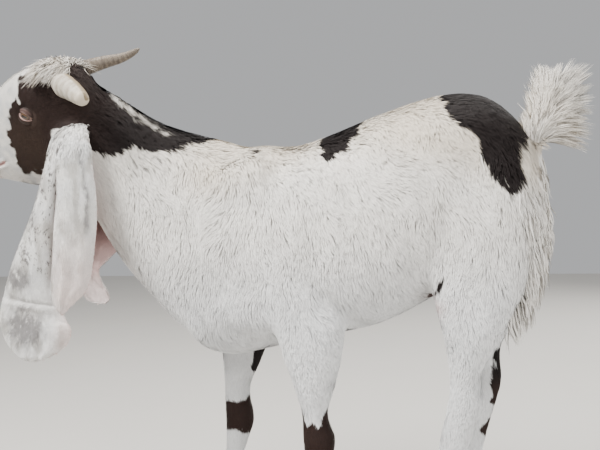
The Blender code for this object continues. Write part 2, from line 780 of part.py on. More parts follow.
def hoof(name, x_front, x_rear, y_middle, inner_sign):
    """One claw: a flat sole, a sloping front wall and a rounded heel."""
    y = y_middle + inner_sign * HOOF_ASIDE
    length = (x_rear - x_front) * 0.5
    rings = []
    for height, grow, lean in HOOF_RINGS:
        middle = (x_rear + x_front) * 0.5 + lean
        ring = []
        for s in range(HOOF_SIDES):
            turn = 2 * math.pi * s / HOOF_SIDES
            c = math.cos(turn)
            w = math.sin(turn) * (1.0 if c > 0 else 1.0 - 0.35 * c * c)
            ring.append(Vector((middle + c * length * grow, y + w * HOOF_HALF * grow, height)))
        rings.append(ring)
    return tube_of(name, rings)


def lock(root, direction, drop, length, width, thick, across, bend=0.0):
    """Flat tapered lock that leaves its root along direction and sags by drop."""
    rings = []
    steps = 4
    here = Vector(root)
    heading = Vector(direction).normalized()
    across = Vector(across).normalized()
    for k in range(steps + 1):
        t = k / steps
        side = (across - heading * across.dot(heading)).normalized()
        face = heading.cross(side).normalized()
        w = width * 0.5 * (1 - t ** 1.6 * 0.97) * (0.75 + 0.25 * math.sin(math.pi * min(t * 1.5, 1)))
        h = thick * 0.5 * (1 - t * 0.85)
        rings.append([here + side * w, here + face * h, here - side * w, here - face * h])
        here = here + heading * (length / steps)
        heading = (heading + Vector(drop) / steps + side * (bend * math.sin(2 * math.pi * t))).normalized()
    return tube_of("lock", rings)


def surface_tree(item):
    shape = bmesh.new()
    shape.from_mesh(item.data)
    tree = BVHTree.FromBMesh(shape)
    shape.free()
    return tree


def tail_cut():
    """Direction and place of the plane between tail and rump."""
    return Vector((0.6, 0, 0.8)), Vector((TAIL_CUT[0], 0, TAIL_CUT[1]))


def tail_locks():
    """Plume of the tail, which fans out up and back."""
    draw = random.Random(7)
    locks = []
    for k in range(TAIL_LOCKS):
        t = 0.34 + 0.62 * (k + 0.5) / TAIL_LOCKS
        x, z, half_width = blend(TAIL_LINE, t * (len(TAIL_LINE) - 1))
        turn = k * GOLDEN_TURN
        back_side = math.cos(turn)
        out = Vector((back_side, math.sin(turn) * 0.8, 0.0))
        lean = 0.26 + 0.46 * back_side + 0.80 * (1 - t) * max(0.0, back_side)
        heading = Vector((lean, out.y * 0.50, 1.0))
        root = Vector((x, 0, z)) + out * half_width * 0.3
        length = TAIL_LOCK_LENGTH + draw.uniform(-0.005, 0.005)
        across = Vector((0.25 * draw.uniform(-1, 1) + out.y, back_side + 0.3, 0.0))
        drop = Vector((0.20 * back_side + 0.08, 0.0, -0.12))
        locks.append(lock(root, heading, drop, length, TAIL_LOCK_WIDTH, TAIL_LOCK_THICK, across, 0.05))
    return locks


def make_tail(colour):
    """Dock of the tail with its plume, parted from the rump by a slanting plane."""
    rows = []
    for x, z, half in TAIL_LINE:
        rows.append((x - half, 0.0, z + half * 0.4, x + half, 0.0, z - half * 0.4, half * 0.9, 0.5))
    tail = loft("tail", rows, ACROSS, sides=12, steps=2, square=1.0)
    direction, place = tail_cut()
    keep_side(tail, place + direction * HALF_GAP, direction)
    boolean(tail, tail_locks(), "UNION")
    largest(tail)
    finish(tail, "tail", colour)


def clear_for_tail(rump):
    """Takes the rump away where the dock of the tail sits."""
    direction, place = tail_cut()
    middle = place + direction * (TAIL_CLEARANCE - HALF_GAP)
    block = slab("tail_clear", middle, direction, ACROSS, 0.022, 0.024, TAIL_CLEARANCE)
    boolean(rump, [block], "DIFFERENCE")
    largest(rump)


def lying_lock(tree, start, heading, along, length, width, proud, draw):
    """Lock rooted where a ray meets the surface, lying along it and standing a little proud."""
    place, normal, face, distance = tree.ray_cast(Vector(start), Vector(heading))
    if place is None:
        return None
    flat = Vector(along) - normal * Vector(along).dot(normal)
    flat.normalize()
    across = normal.cross(flat)
    flat = (flat + across * draw.uniform(-0.16, 0.16)).normalized()
    root = place - normal * LOCK_SUNK - flat * 0.004
    bend = draw.uniform(-0.05, 0.05)
    return lock(root, flat + normal * proud, normal * (0.12 - proud), length, width, LOCK_THICK, across, bend)


def breech_locks(piece, sizes):
    """Long locks down the back of the thighs, in rows, lower rows first."""
    tree = surface_tree(piece)
    draw = random.Random(sizes["seed"])
    made = []
    for r in range(sizes["rows"]):
        z = sizes["low"] + (sizes["high"] - sizes["low"]) * r / (sizes["rows"] - 1)
        for c in range(sizes["columns"]):
            u = -1 + 2 * (c + 0.5 + 0.35 * (r % 2)) / (sizes["columns"] + 0.35)
            start = (0.50, sizes["middle"] + u * sizes["spread"], z + draw.uniform(-0.004, 0.004))
            made.append(lying_lock(tree, start, (-1, 0, 0), (0.10, u * 0.25, -1), draw.uniform(0.042, 0.052),
                                   0.018, 0.42, draw))
    return [one for one in made if one]


def crest_locks(piece):
    """Short mane along the top of the neck, lying back toward the withers."""
    tree = surface_tree(piece)
    draw = random.Random(21)
    made = []
    for k in range(CREST_PAIRS):
        x = CREST_START + CREST_STEP * k
        for sign in (-1, 1):
            y = sign * 0.012 - 0.030 * min(1.0, max(0.0, (-x - 0.12) / 0.2)) + draw.uniform(-0.003, 0.003)
            start = (x + sign * 0.004, y, 1.0)
            made.append(lying_lock(tree, start, (0, 0, -1), (1, sign * 0.30, -0.3), 0.040, 0.016, 0.34, draw))
    return [one for one in made if one]


def poll_locks(piece):
    """Tuft between the horns that falls forward over the forehead."""
    tree = surface_tree(piece)
    draw = random.Random(5)
    made = []
    for row, forward in enumerate(POLL_ROWS):
        for c in range(POLL_COLUMNS):
            left = (c - 1.5) * POLL_SPACING + (0.004 if row % 2 else -0.002)
            start = head_point(forward, left, 0.20)
            along = FORWARD + LEFT * (left * 22) + UP * 0.1
            made.append(lying_lock(tree, start, -UP, along, 0.034, 0.014, 0.36, draw))
    return [one for one in made if one]


def make_head(whole, colour):
    """Head in front of the neck cut: lids, forelock, mouth, nostrils and room for eyes, horns and ears."""
    head = thin_out(copy_of(whole, "head"), HEAD_RATIO)
    keep_side(head, head_point(NECK_CUT, 0, 0) + FORWARD * HALF_GAP, FORWARD)
    largest(head)
    lids = [lid(sign, name) for sign in (-1, 1) for name in LIDS]
    boolean(head, lids + poll_locks(head), "UNION")
    largest(head)
    cutters = [socket_cutter(sign) for sign in (-1, 1)]
    boolean(head, cutters + horn_cutters() + mouth_cutters() + ear_cutters(), "DIFFERENCE")
    largest(head)
    finish(head, "head", colour)


def part_body(whole):
    """Neck, trunk and legs behind the neck cut, parted by thin plates."""
    body = thin_out(copy_of(whole, "body"), BODY_RATIO)
    keep_side(body, head_point(NECK_CUT, 0, 0) - FORWARD * HALF_GAP, -FORWARD)
    plates = []
    for centre, facing, half_long, half_wide in PLATES:
        plates.append(slab("plate", centre, facing, ACROSS, half_long, half_wide, HALF_GAP))
    boolean(body, plates, "DIFFERENCE")
    return body


def named_pieces(body):
    """One object for each name in BODY_PLACES, from the parted surface nearest to its place."""
    groups = shells(body)
    middles = []
    for group in groups:
        total = Vector((0, 0, 0))
        area = 0.0
        for k in group:
            face = body.data.polygons[k]
            total += face.center * face.area
            area += face.area
        middles.append(total / area if area > SMALLEST_PIECE else Vector((0, 0, 10)))
    pieces = {}
    for name, target in BODY_PLACES.items():
        best = min(range(len(groups)), key=lambda k: (middles[k] - Vector(target)).length)
        piece = copy_of(body, name)
        keep_shell(piece, groups[best])
        pieces[name] = piece
    bpy.data.objects.remove(body, do_unlink=True)
    return pieces


def add_body_locks(pieces):
    for name, sizes in (("rump", RUMP_LOCKS), ("hindleg_left_upper", LEFT_THIGH_LOCKS),
                        ("hindleg_right_upper", RIGHT_THIGH_LOCKS)):
        boolean(pieces[name], breech_locks(pieces[name], sizes), "UNION")
        largest(pieces[name])
    neck = pieces["neck"]
    boolean(neck, crest_locks(neck), "UNION")
    boolean(neck, ear_cutters() + horn_cutters(), "DIFFERENCE")
    largest(neck)


def make_feet(colour):
    """Two claws under each leg."""
    moved = HIND_RIGHT_SHIFT + HIND_RIGHT_LOWER_SHIFT * (HIP_HEIGHT - HIND_LEFT[-1][0]) / HIP_HEIGHT
    feet = {"fore_left": (FORE_LEFT[-1], -1, 0.0), "fore_right": (FORE_RIGHT[-1], 1, 0.0),
            "hind_left": (HIND_LEFT[-1], -1, 0.0), "hind_right": (HIND_LEFT[-1], 1, moved)}
    for label, (station, sign, shift) in feet.items():
        front, rear, place = station[1], station[2], station[4]
        for part, inner in (("inner", -sign), ("outer", sign)):
            made = hoof("hoof", front - HOOF_FRONT + shift, rear + HOOF_REAR + shift, sign * place, inner)
            finish(made, "hoof_" + label + "_" + part, colour)


def make_eyes(colour):
    for label, sign in (("left", 1), ("right", -1)):
        finish(blob("eye", eye_centre(sign), HEAD_AXES, (EYE_RADIUS,) * 3, rings=7), "eye_" + label, colour)


def main():
    clear_scene()
    white = material("coat_white", WHITE, 0.85)
    whole = voxel(join("whole", trunk_pieces() + head_pieces()), VOXEL, 6)
    largest(whole)
    make_head(whole, material("coat_brown", BROWN, 0.8))
    pieces = named_pieces(part_body(whole))
    bpy.data.objects.remove(whole, do_unlink=True)
    make_tail(white)
    clear_for_tail(pieces["rump"])
    add_body_locks(pieces)
    for name, piece in pieces.items():
        finish(piece, name, white)
    horn_paint = material("horn", HORN_COLOUR, 0.55)
    for label, sizes in HORNS.items():
        finish(horn("horn", sizes), "horn_" + label, horn_paint)
    make_eyes(material("eye", EYE_COLOUR, 0.1))
    ear_skin = material("ear_coat", EAR_COLOUR, 0.8)
    finish(ear("ear", LEFT_EAR, -1), "ear_left", ear_skin)
    finish(ear("ear", RIGHT_EAR, 1), "ear_right", ear_skin)
    make_feet(material("hoof", HOOF_COLOUR, 0.5))


main()
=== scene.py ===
# Nubian goat, life size, standing. Skin, coat, head, ears, horns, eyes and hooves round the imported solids.
import math
import bmesh
import bpy
import numpy as np
from mathutils import Matrix, Vector
from mathutils.bvhtree import BVHTree
from mathutils.kdtree import KDTree


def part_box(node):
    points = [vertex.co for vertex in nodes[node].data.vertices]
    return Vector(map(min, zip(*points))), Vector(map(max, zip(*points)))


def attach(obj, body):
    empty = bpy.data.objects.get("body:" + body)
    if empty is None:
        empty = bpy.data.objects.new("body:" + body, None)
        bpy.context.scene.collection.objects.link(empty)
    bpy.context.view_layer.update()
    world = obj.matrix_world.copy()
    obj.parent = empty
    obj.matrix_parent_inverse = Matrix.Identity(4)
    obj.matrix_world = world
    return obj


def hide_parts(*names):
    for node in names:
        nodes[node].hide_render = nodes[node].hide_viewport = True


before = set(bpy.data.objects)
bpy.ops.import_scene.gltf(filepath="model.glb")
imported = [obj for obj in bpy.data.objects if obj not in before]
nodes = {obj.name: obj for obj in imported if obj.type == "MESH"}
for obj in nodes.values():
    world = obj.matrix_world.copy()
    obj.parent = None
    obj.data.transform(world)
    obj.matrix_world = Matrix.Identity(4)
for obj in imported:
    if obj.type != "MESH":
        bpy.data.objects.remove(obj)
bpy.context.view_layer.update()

# The goat's own frame: nose toward -X, near side toward -Y, floor at z 0.
# shift takes it to the library's frame.
goat = {
    "shift": (0.0690, 0.0207, 0.0),
    "headCentre": (-0.415, -0.045, 0.736),
    "headYaw": 8,
    "headPitch": 8,
    "headRoll": 17,
    "eyeRadius": 0.0125,
    "slitTilt": 40,
}


def headAxes():
    yaw, pitch, roll = (math.radians(goat[k]) for k in ("headYaw", "headPitch", "headRoll"))
    nose = Vector((-math.cos(yaw) * math.cos(pitch), math.sin(yaw) * math.cos(pitch), -math.sin(pitch)))
    level = Vector((-math.sin(yaw), -math.cos(yaw), 0.0))
    upright = nose.cross(level)
    side = level * math.cos(roll) - upright * math.sin(roll)
    crown = upright * math.cos(roll) + level * math.sin(roll)
    return nose, side, crown


noseWay, sideWay, crownWay = headAxes()
headBasis = np.array([noseWay, sideWay, crownWay])
headMiddle = np.array(goat["headCentre"])
shift = np.array(goat["shift"])


def toHead(points):
    return (points - headMiddle) @ headBasis.T


def fromHead(rows):
    return np.asarray(rows, float) @ headBasis + headMiddle


def headSpot(forward, side, up):
    return Vector(fromHead([[forward, side, up]])[0])


def nodeMiddle(name):
    low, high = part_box(name)
    return (np.array(low) + np.array(high)) * 0.5 - shift


eyeSpots = {sign: nodeMiddle("eye_" + side) for side, sign in (("left", 1), ("right", -1))}


def unit(rows):
    return rows / np.maximum(np.linalg.norm(rows, axis=-1, keepdims=True), 1e-9)


def ramp(value, low, high):
    t = np.clip((value - low) / (high - low), 0, 1)
    return t * t * (3 - 2 * t)


def mixed(first, second, share):
    share = np.asarray(share)[..., None]
    return first * (1 - share) + second * share


def blendRows(rows, t):
    at = min(max(t, 0.0), len(rows) - 1.000001)
    k = int(at)
    f = at - k
    a = rows[max(k - 1, 0)]
    b = rows[k]
    c = rows[k + 1]
    d = rows[min(k + 2, len(rows) - 1)]
    blended = []
    for p, q, r, s in zip(a, b, c, d):
        curve = (2 * p - 5 * q + 4 * r - s) * f * f + (3 * q - p - 3 * r + s) * f ** 3
        blended.append(0.5 * (2 * q + (r - p) * f + curve))
    return blended


# soft noise between 0 and 1, the same each run
noiseSide = 24
noiseGrid = np.random.default_rng(11).random((noiseSide,) * 3)


def cloudy(points, size, start=0.0):
    q = points / size + start
    low = np.floor(q).astype(int)
    f = q - low
    f = f * f * (3 - 2 * f)
    total = np.zeros(len(points))
    for corner in np.ndindex(2, 2, 2):
        share = np.ones(len(points))
        for k in range(3):
            share = share * (f[:, k] if corner[k] else 1 - f[:, k])
        cell = (low + np.array(corner)) % noiseSide
        total += share * noiseGrid[cell[:, 0], cell[:, 1], cell[:, 2]]
    return total


def insideBy(u, w, outline):
    # metres inside a closed outline, below zero outside it
    corners = np.array(outline)
    nearest = np.full(len(u), 9.0)
    within = np.zeros(len(u), bool)
    for (ax, ay), (bx, by) in zip(corners, np.roll(corners, -1, 0)):
        ex = bx - ax
        ey = by - ay
        t = np.clip(((u - ax) * ex + (w - ay) * ey) / (ex * ex + ey * ey), 0, 1)
        nearest = np.minimum(nearest, np.hypot(u - ax - t * ex, w - ay - t * ey))
        if ay != by:
            within ^= ((ay > w) != (by > w)) & (u < ex * (w - ay) / ey + ax)
    return np.where(within, nearest, -nearest)


def nearLine(points, first, last):
    a = np.array(first)
    run = np.array(last) - a
    t = np.clip((points - a) @ run / (run @ run), 0, 1)
    return np.linalg.norm(points - a - t[:, None] * run, axis=1)


# shader helpers
class Wire:
    # a socket that takes part in plain arithmetic

    def __init__(self, paint, socket):
        self.paint = paint
        self.socket = socket

    def maths(self, how, first, second):
        return self.paint.node("ShaderNodeMath", {"operation": how}, {0: first, 1: second})

    def __add__(self, other):
        return self.maths("ADD", self, other)

    def __mul__(self, other):
        return self.maths("MULTIPLY", self, other)

    def __truediv__(self, other):
        return self.maths("DIVIDE", self, other)

    def __pow__(self, other):
        return self.maths("POWER", self, other)


class Paint:
    # one material, built from expressions

    def __init__(self, name, roughness, specular=0.5, **more):
        self.material = bpy.data.materials.new(name)
        self.material.use_nodes = True
        self.tree = self.material.node_tree
        self.shader = self.tree.nodes["Principled BSDF"]
        self.shader.inputs["Roughness"].default_value = roughness
        self.shader.inputs["Specular IOR Level"].default_value = specular
        for socket, value in more.items():
            self.shader.inputs[socket.replace("_", " ")].default_value = value

    def node(self, kind, settings=None, inputs=None, output=0):
        made = self.tree.nodes.new(kind)
        for key, value in (settings or {}).items():
            setattr(made, key, value)
        for key, value in (inputs or {}).items():
            self.feed(made.inputs[key], value)
        return Wire(self, made.outputs[output])

    def feed(self, socket, value):
        if isinstance(value, Wire):
            self.tree.links.new(value.socket, socket)
        elif isinstance(value, tuple) and len(value) == 3 and socket.type == "RGBA":
            socket.default_value = (*value, 1.0)
        else:
            socket.default_value = value

    def into(self, name, value):
        self.feed(self.shader.inputs[name], value)

    def attribute(self, name, output="Color"):
        return self.node("ShaderNodeAttribute", {"attribute_name": name}, output=output)

    def place(self):
        return self.node("ShaderNodeTexCoord", output="Object")

    def split(self, vector, axis):
        return self.node("ShaderNodeSeparateXYZ", inputs={0: vector}, output=axis)

    def join(self, x, y, z):
        return self.node("ShaderNodeCombineXYZ", inputs={0: x, 1: y, 2: z})

    def noise(self, vector, scale, detail=3.0):
        inputs = {"Vector": vector, "Scale": scale, "Detail": detail, "Roughness": 0.55}
        return self.node("ShaderNodeTexNoise", inputs=inputs, output="Fac")

    def span(self, value, low, high, start=0.0, end=1.0):
        inputs = {"Value": value, "From Min": low, "From Max": high, "To Min": start, "To Max": end}
        return self.node("ShaderNodeMapRange", {"clamp": True}, inputs)

    def mix(self, share, first, second, how="MIX"):
        settings = {"data_type": "RGBA", "blend_type": how, "clamp_factor": True}
        return self.node("ShaderNodeMix", settings, {0: share, 6: first, 7: second}, output=2)

    def bump(self, height, strength, distance):
        inputs = {"Height": height, "Strength": strength, "Distance": distance}
        self.into("Normal", self.node("ShaderNodeBump", inputs=inputs))


# mesh helpers
def rowsOf(items, field, width, kind):
    flat = np.empty(len(items) * width, kind)
    items.foreach_get(field, flat)
    return flat.reshape(-1, width)


def coordsOf(mesh):
    return rowsOf(mesh.vertices, "co", 3, np.float32).astype(float)


def normalsOf(mesh):
    return rowsOf(mesh.vertex_normals, "vector", 3, np.float32).astype(float)


def setCoords(mesh, points):
    mesh.vertices.foreach_set("co", np.asarray(points, np.float32).ravel())
    mesh.update()


def edgesOf(mesh):
    return rowsOf(mesh.edges, "vertices", 2, np.int32)


def keep(mesh, name, kind, field, values):
    # a value at each vertex, read by the materials
    made = mesh.attributes.new(name, kind, "POINT")
    made.data.foreach_set(field, np.asarray(values, np.float32).ravel())


def keepTone(mesh, tone):
    keep(mesh, "tone", "FLOAT_COLOR", "color", np.c_[tone, np.ones(len(tone))])


def around(sides):
    # angles of the points of a ring
    return [2 * math.pi * s / sides for s in range(sides)]


def relax(points, edges, weight, rounds):
    # moves each point toward the middle of its neighbours, by its weight
    count = len(points)
    a = np.concatenate([edges[:, 0], edges[:, 1]])
    b = np.concatenate([edges[:, 1], edges[:, 0]])
    degree = np.maximum(np.bincount(a, minlength=count), 1)
    for k in range(rounds):
        middle = np.stack([np.bincount(a, points[b, axis], count) for axis in range(3)], 1) / degree[:, None]
        points = points + (middle - points) * weight[:, None]
    return points


def addPiece(name, mesh, paint=None):
    made = bpy.data.objects.new(name, mesh)
    bpy.context.scene.collection.objects.link(made)
    if paint:
        made.data.materials.append(paint)
    return made


def ringEdges(bm, loop):
    return [bm.edges.get((first, second)) for first, second in zip(loop, loop[1:] + loop[:1])]


def lofted(bm, rings, closeEnds=True):
    # a tube from a circle, drawn out ring by ring
    first = bmesh.ops.create_circle(bm, segments=len(rings[0]), radius=1.0)["verts"]
    for vertex, place in zip(first, rings[0]):
        vertex.co = place
    loop = list(first)
    start = list(first)
    for ring in rings[1:]:
        edges = ringEdges(bm, loop)
        drawn = bmesh.ops.extrude_edge_only(bm, edges=edges)["geom"]
        fresh = {v for v in drawn if isinstance(v, bmesh.types.BMVert)}
        following = []
        for vertex in loop:
            ends = (edge.other_vert(vertex) for edge in vertex.link_edges)
            following.append(next(end for end in ends if end in fresh))
        for vertex, place in zip(following, ring):
            vertex.co = place
        loop = following
    if closeEnds:
        for end in (start, loop):
            bmesh.ops.contextual_create(bm, geom=ringEdges(bm, end))
    bmesh.ops.recalc_face_normals(bm, faces=bm.faces)


def tuned(bm, name, paint):
    # the finished mesh, moved from the goat's frame into the library's
    bmesh.ops.translate(bm, verts=bm.verts, vec=Vector(goat["shift"]))
    mesh = bpy.data.meshes.new(name)
    bm.to_mesh(mesh)
    bm.free()
    mesh.shade_smooth()
    return addPiece(name, mesh, paint)


# camera, floor and light
cameraLook = {
    "place": (0.44367, -1.37757, 0.61947),
    "right": (0.96585737, 0.25672088, -0.03484163),
    "up": (0.01882073, 0.06460136, 0.99773365),
    "view": (-0.25838988, 0.96432414, -0.05756403),
    "lens": 56.4,
}


def makeCamera():
    data = bpy.data.cameras.new("camera")
    data.lens = cameraLook["lens"]
    data.sensor_width = 36.0
    data.clip_start = 0.02
    made = bpy.data.objects.new("camera", data)
    bpy.context.scene.collection.objects.link(made)
    right, up, view = (Vector(cameraLook[k]) for k in ("right", "up", "view"))
    turned = Matrix((right, up, -view)).transposed().to_4x4()
    made.matrix_world = Matrix.Translation(Vector(cameraLook["place"])) @ turned
    bpy.context.scene.camera = made


studio = {
    "floorHalf": 4.0,
    "floorColour": (0.45, 0.437, 0.415),
    "worldColour": (0.97, 0.98, 1.0),
    "worldStrength": 0.50,
    "lampColour": (1.0, 0.975, 0.93),
    # name: place, aimed at, size, watts
    "lamps": {
        "key": ((-1.5, -1.5, 2.7), (0.0, 0.0, 0.5), 1.1, 240.0),
        "fill": ((2.4, -1.9, 1.3), (0.0, 0.0, 0.45), 2.2, 78.0),
        "top": ((0.3, 0.5, 2.7), (0.0, 0.0, 0.5), 1.6, 92.0),
        "back": ((1.3, 2.4, 1.7), (0.0, 0.0, 0.5), 2.0, 66.0),
    },
}


def makeStudio():
    bm = bmesh.new()
    bmesh.ops.create_grid(bm, x_segments=8, y_segments=8, size=studio["floorHalf"])
    mesh = bpy.data.meshes.new("floor")
    bm.to_mesh(mesh)
    bm.free()
    paint = Paint("studioFloor", 0.85)
    grain = paint.noise(paint.place(), 3.0, 4.0)
    dull, bright = (tuple(c * share for c in studio["floorColour"]) for share in (0.97, 1.03))
    paint.into("Base Color", paint.mix(grain, dull, bright))
    addPiece("floor", mesh, paint.material)
    world = bpy.data.worlds.new("studio")
    world.use_nodes = True
    sky = world.node_tree.nodes["Background"]
    sky.inputs["Color"].default_value = (*studio["worldColour"], 1.0)
    sky.inputs["Strength"].default_value = studio["worldStrength"]
    bpy.context.scene.world = world
    for name, (place, aim, size, watts) in studio["lamps"].items():
        data = bpy.data.lights.new(name, "AREA")
        data.size = size
        data.energy = watts
        data.color = studio["lampColour"]
        lamp = bpy.data.objects.new(name, data)
        bpy.context.scene.collection.objects.link(lamp)
        lamp.location = place
        lamp.rotation_euler = (Vector(place) - Vector(aim)).to_track_quat("Z", "Y").to_euler()


makeCamera()
makeStudio()
print("camera, floor and light are set")

# lie of the coat
# goat frame: place, way it lies, length mm, stand off the skin mm; the near side is listed and mirrored
bodyLie = [
    ((-0.06, 0.0, 0.66), (1.0, 0.0, -0.2), 25, 6.0),
    ((0.06, 0.0, 0.673), (1.0, 0.0, -0.1), 24, 5.5),
    ((0.15, 0.0, 0.7), (1.0, 0.0, 0.0), 24, 5.5),
    ((0.25, 0.0, 0.724), (1.0, 0.0, -0.2), 20, 5.0),
    ((0.33, 0.0, 0.68), (0.7, 0.0, -1.0), 22, 5.5),
    ((-0.05, -0.06, 0.63), (0.7, -0.3, -1.0), 26, 6.5),
    ((0.06, -0.08, 0.63), (0.75, -0.3, -1.0), 26, 6.5),
    ((0.15, -0.09, 0.65), (0.9, -0.3, -0.8), 25, 6.0),
    ((0.25, -0.085, 0.67), (0.8, -0.2, -0.9), 21, 5.0),
    ((0.0, -0.104, 0.52), (0.2, 0.0, -1.0), 28, 7.0),
    ((0.06, -0.113, 0.54), (0.4, 0.0, -1.0), 28, 7.0),
    ((0.13, -0.119, 0.54), (0.5, 0.0, -1.0), 28, 7.0),
    ((0.2, -0.112, 0.56), (0.45, 0.0, -1.0), 26, 6.5),
    ((0.06, -0.1, 0.43), (0.35, 0.1, -1.0), 28, 7.0),
    ((0.13, -0.105, 0.45), (0.45, 0.1, -1.0), 28, 7.0),
    ((0.06, 0.0, 0.372), (1.0, 0.0, -0.1), 26, 6.0),
    ((-0.04, 0.0, 0.345), (1.0, 0.0, -0.1), 24, 6.0),
    ((0.17, 0.0, 0.415), (1.0, 0.0, 0.2), 20, 5.0),
    ((0.2, -0.08, 0.45), (0.55, 0.1, -0.8), 22, 5.5),
    ((0.27, -0.095, 0.59), (0.2, 0.0, -1.0), 24, 6.0),
    ((0.31, -0.085, 0.57), (0.1, 0.0, -1.0), 26, 7.0),
    ((0.24, -0.098, 0.48), (-0.05, 0.0, -1.0), 24, 5.5),
    ((0.31, -0.085, 0.47), (0.02, 0.0, -1.0), 30, 7.5),
    ((0.35, -0.045, 0.57), (0.1, 0.1, -1.0), 44, 10.0),
    ((0.345, -0.08, 0.5), (-0.05, 0.1, -1.0), 42, 10.0),
    ((0.365, 0.0, 0.61), (0.3, 0.0, -1.0), 30, 8.0),
    ((0.33, -0.02, 0.48), (-0.1, 0.0, -1.0), 30, 7.0),
    ((-0.085, -0.09, 0.56), (-0.25, 0.0, -1.0), 27, 6.5),
    ((-0.04, -0.095, 0.46), (0.0, 0.0, -1.0), 26, 6.0),
    ((0.03, -0.105, 0.47), (0.1, 0.0, -1.0), 27, 6.5),
    ((-0.12, -0.075, 0.45), (-0.15, 0.0, -1.0), 27, 6.5),
    ((-0.175, -0.04, 0.47), (-0.1, 0.1, -1.0), 30, 7.5),
    ((-0.13, 0.0, 0.365), (0.3, 0.0, -1.0), 28, 7.0),
    ((-0.3, -0.035, 0.765), (1.0, -0.1, -0.3), 32, 8.0),
    ((-0.24, -0.02, 0.725), (1.0, -0.1, -0.4), 34, 8.5),
    ((-0.16, 0.0, 0.69), (1.0, 0.0, -0.3), 30, 8.0),
    ((-0.25, -0.07, 0.69), (0.8, -0.1, -0.9), 24, 6.0),
    ((-0.22, -0.07, 0.62), (0.45, -0.1, -1.0), 26, 6.5),
    ((-0.16, -0.075, 0.6), (0.15, 0.0, -1.0), 27, 6.5),
    ((-0.24, -0.055, 0.52), (0.15, 0.0, -1.0), 27, 7.0),
    ((-0.2, -0.05, 0.45), (0.0, 0.0, -1.0), 29, 7.5),
    ((-0.3, -0.04, 0.57), (0.15, 0.0, -1.0), 22, 5.5),
    ((-0.345, -0.05, 0.635), (0.45, 0.0, -1.0), 16, 4.0),
]
# legs: height, length mm, stand mm, lean of the hair backward
legLie = [(0.43, 22, 5.0, 0.1), (0.38, 17, 4.0, 0.12), (0.33, 13, 3.2, 0.1), (0.28, 10, 2.6, 0.05),
          (0.23, 8.5, 2.2, 0.05), (0.17, 7.5, 1.9, 0.05), (0.11, 7.5, 1.9, 0.05), (0.075, 9.0, 2.4, 0.2),
          (0.045, 7.5, 2.0, 0.1)]
# middle x of each leg at those heights, and its side: near fore, far fore, near hind, far hind
legLines = [([0.01, 0.03, 0.038, 0.036, 0.04, 0.037, 0.037, 0.033, 0.022], -1),
            ([-0.095, -0.115, -0.13, -0.139, -0.138, -0.15, -0.158, -0.165, -0.178], 1),
            ([0.28, 0.262, 0.256, 0.255, 0.238, 0.221, 0.208, 0.198, 0.186], -1),
            ([0.287, 0.268, 0.263, 0.266, 0.257, 0.244, 0.234, 0.224, 0.211], 1)]
legOut = 0.084
lieLimits = {"long": 0.016, "past": 0.72, "stand": 0.75}        # hair past the long mark is shortened
# head frame: forward, side, up; way; length mm; stand mm
headLie = [
    ((0.15, 0.0, -0.055), (-1.0, 0.0, 0.3), 3.0, 0.7),
    ((0.125, 0.018, -0.04), (-1.0, 0.2, 0.2), 4.0, 0.9),
    ((0.09, 0.0, 0.024), (-1.0, 0.0, 0.3), 5.5, 1.3),
    ((0.04, 0.0, 0.05), (-1.0, 0.0, 0.2), 7.5, 1.8),
    ((0.0, 0.0, 0.064), (-1.0, 0.1, 0.1), 9.0, 2.4),
    ((-0.03, 0.012, 0.068), (-1.0, 0.4, 0.1), 12.0, 3.0),
    ((0.08, 0.028, -0.03), (-1.0, 0.1, -0.25), 5.5, 1.3),
    ((0.04, 0.038, -0.02), (-1.0, 0.1, -0.35), 6.0, 1.4),
    ((0.03, 0.04, -0.07), (-1.0, 0.0, -0.45), 8.0, 2.0),
    ((-0.015, 0.046, -0.05), (-1.0, 0.0, -0.5), 8.0, 2.0),
    ((-0.05, 0.045, -0.06), (-0.9, 0.0, -0.8), 11.0, 2.8),
    ((0.022, 0.04, 0.01), (-0.8, 0.3, 0.5), 5.0, 1.1),
    ((-0.005, 0.042, 0.026), (-1.0, 0.3, 0.4), 6.0, 1.4),
    ((-0.03, 0.044, 0.0), (-1.0, 0.1, 0.0), 7.0, 1.6),
    ((-0.065, 0.042, 0.01), (-1.0, 0.1, -0.2), 12.0, 3.0),
    ((-0.09, 0.03, 0.04), (-1.0, 0.2, -0.2), 18.0, 4.5),
    ((0.06, 0.012, -0.122), (-1.0, 0.1, -0.2), 10.0, 2.6),
    ((0.0, 0.012, -0.132), (-1.0, 0.1, -0.3), 12.0, 3.0),
    ((0.112, 0.01, -0.098), (-0.8, 0.0, -0.7), 8.0, 2.2),
    ((0.125, 0.022, -0.072), (-0.9, 0.1, -0.3), 4.0, 0.9),
]


def lieAnchors():
    rows = []
    for place, way, length, stand in bodyLie:
        for side in ((1, -1) if place[1] else (1,)):
            rows.append([place[0], side * place[1], place[2], way[0], side * way[1], way[2], length, stand])
    for line, side in legLines:
        for x, (z, length, stand, lean) in zip(line, legLie):
            for dx, dy in ((-0.03, 0.0), (0.03, 0.0), (0.0, 0.025), (0.0, -0.025)):
                rows.append([x + dx, side * legOut + dy, z, lean, 0.0, -1.0, length, stand])
    for place, way, length, stand in headLie:
        for side in ((-1, 1) if place[1] else (1,)):
            spot = fromHead([[place[0], side * place[1], place[2]]])[0]
            turned = np.array([way[0], side * way[1], way[2]]) @ headBasis
            rows.append([*spot, *turned, length, stand])
    rows = np.array(rows)
    rows[:, 3:6] = unit(rows[:, 3:6])
    rows[:, 6:] *= 0.001
    longer = rows[:, 6] > lieLimits["long"]
    rows[longer, 6] = lieLimits["long"] + (rows[longer, 6] - lieLimits["long"]) * lieLimits["past"]
    rows[:, 7] *= lieLimits["stand"]
    return rows


anchors = lieAnchors()


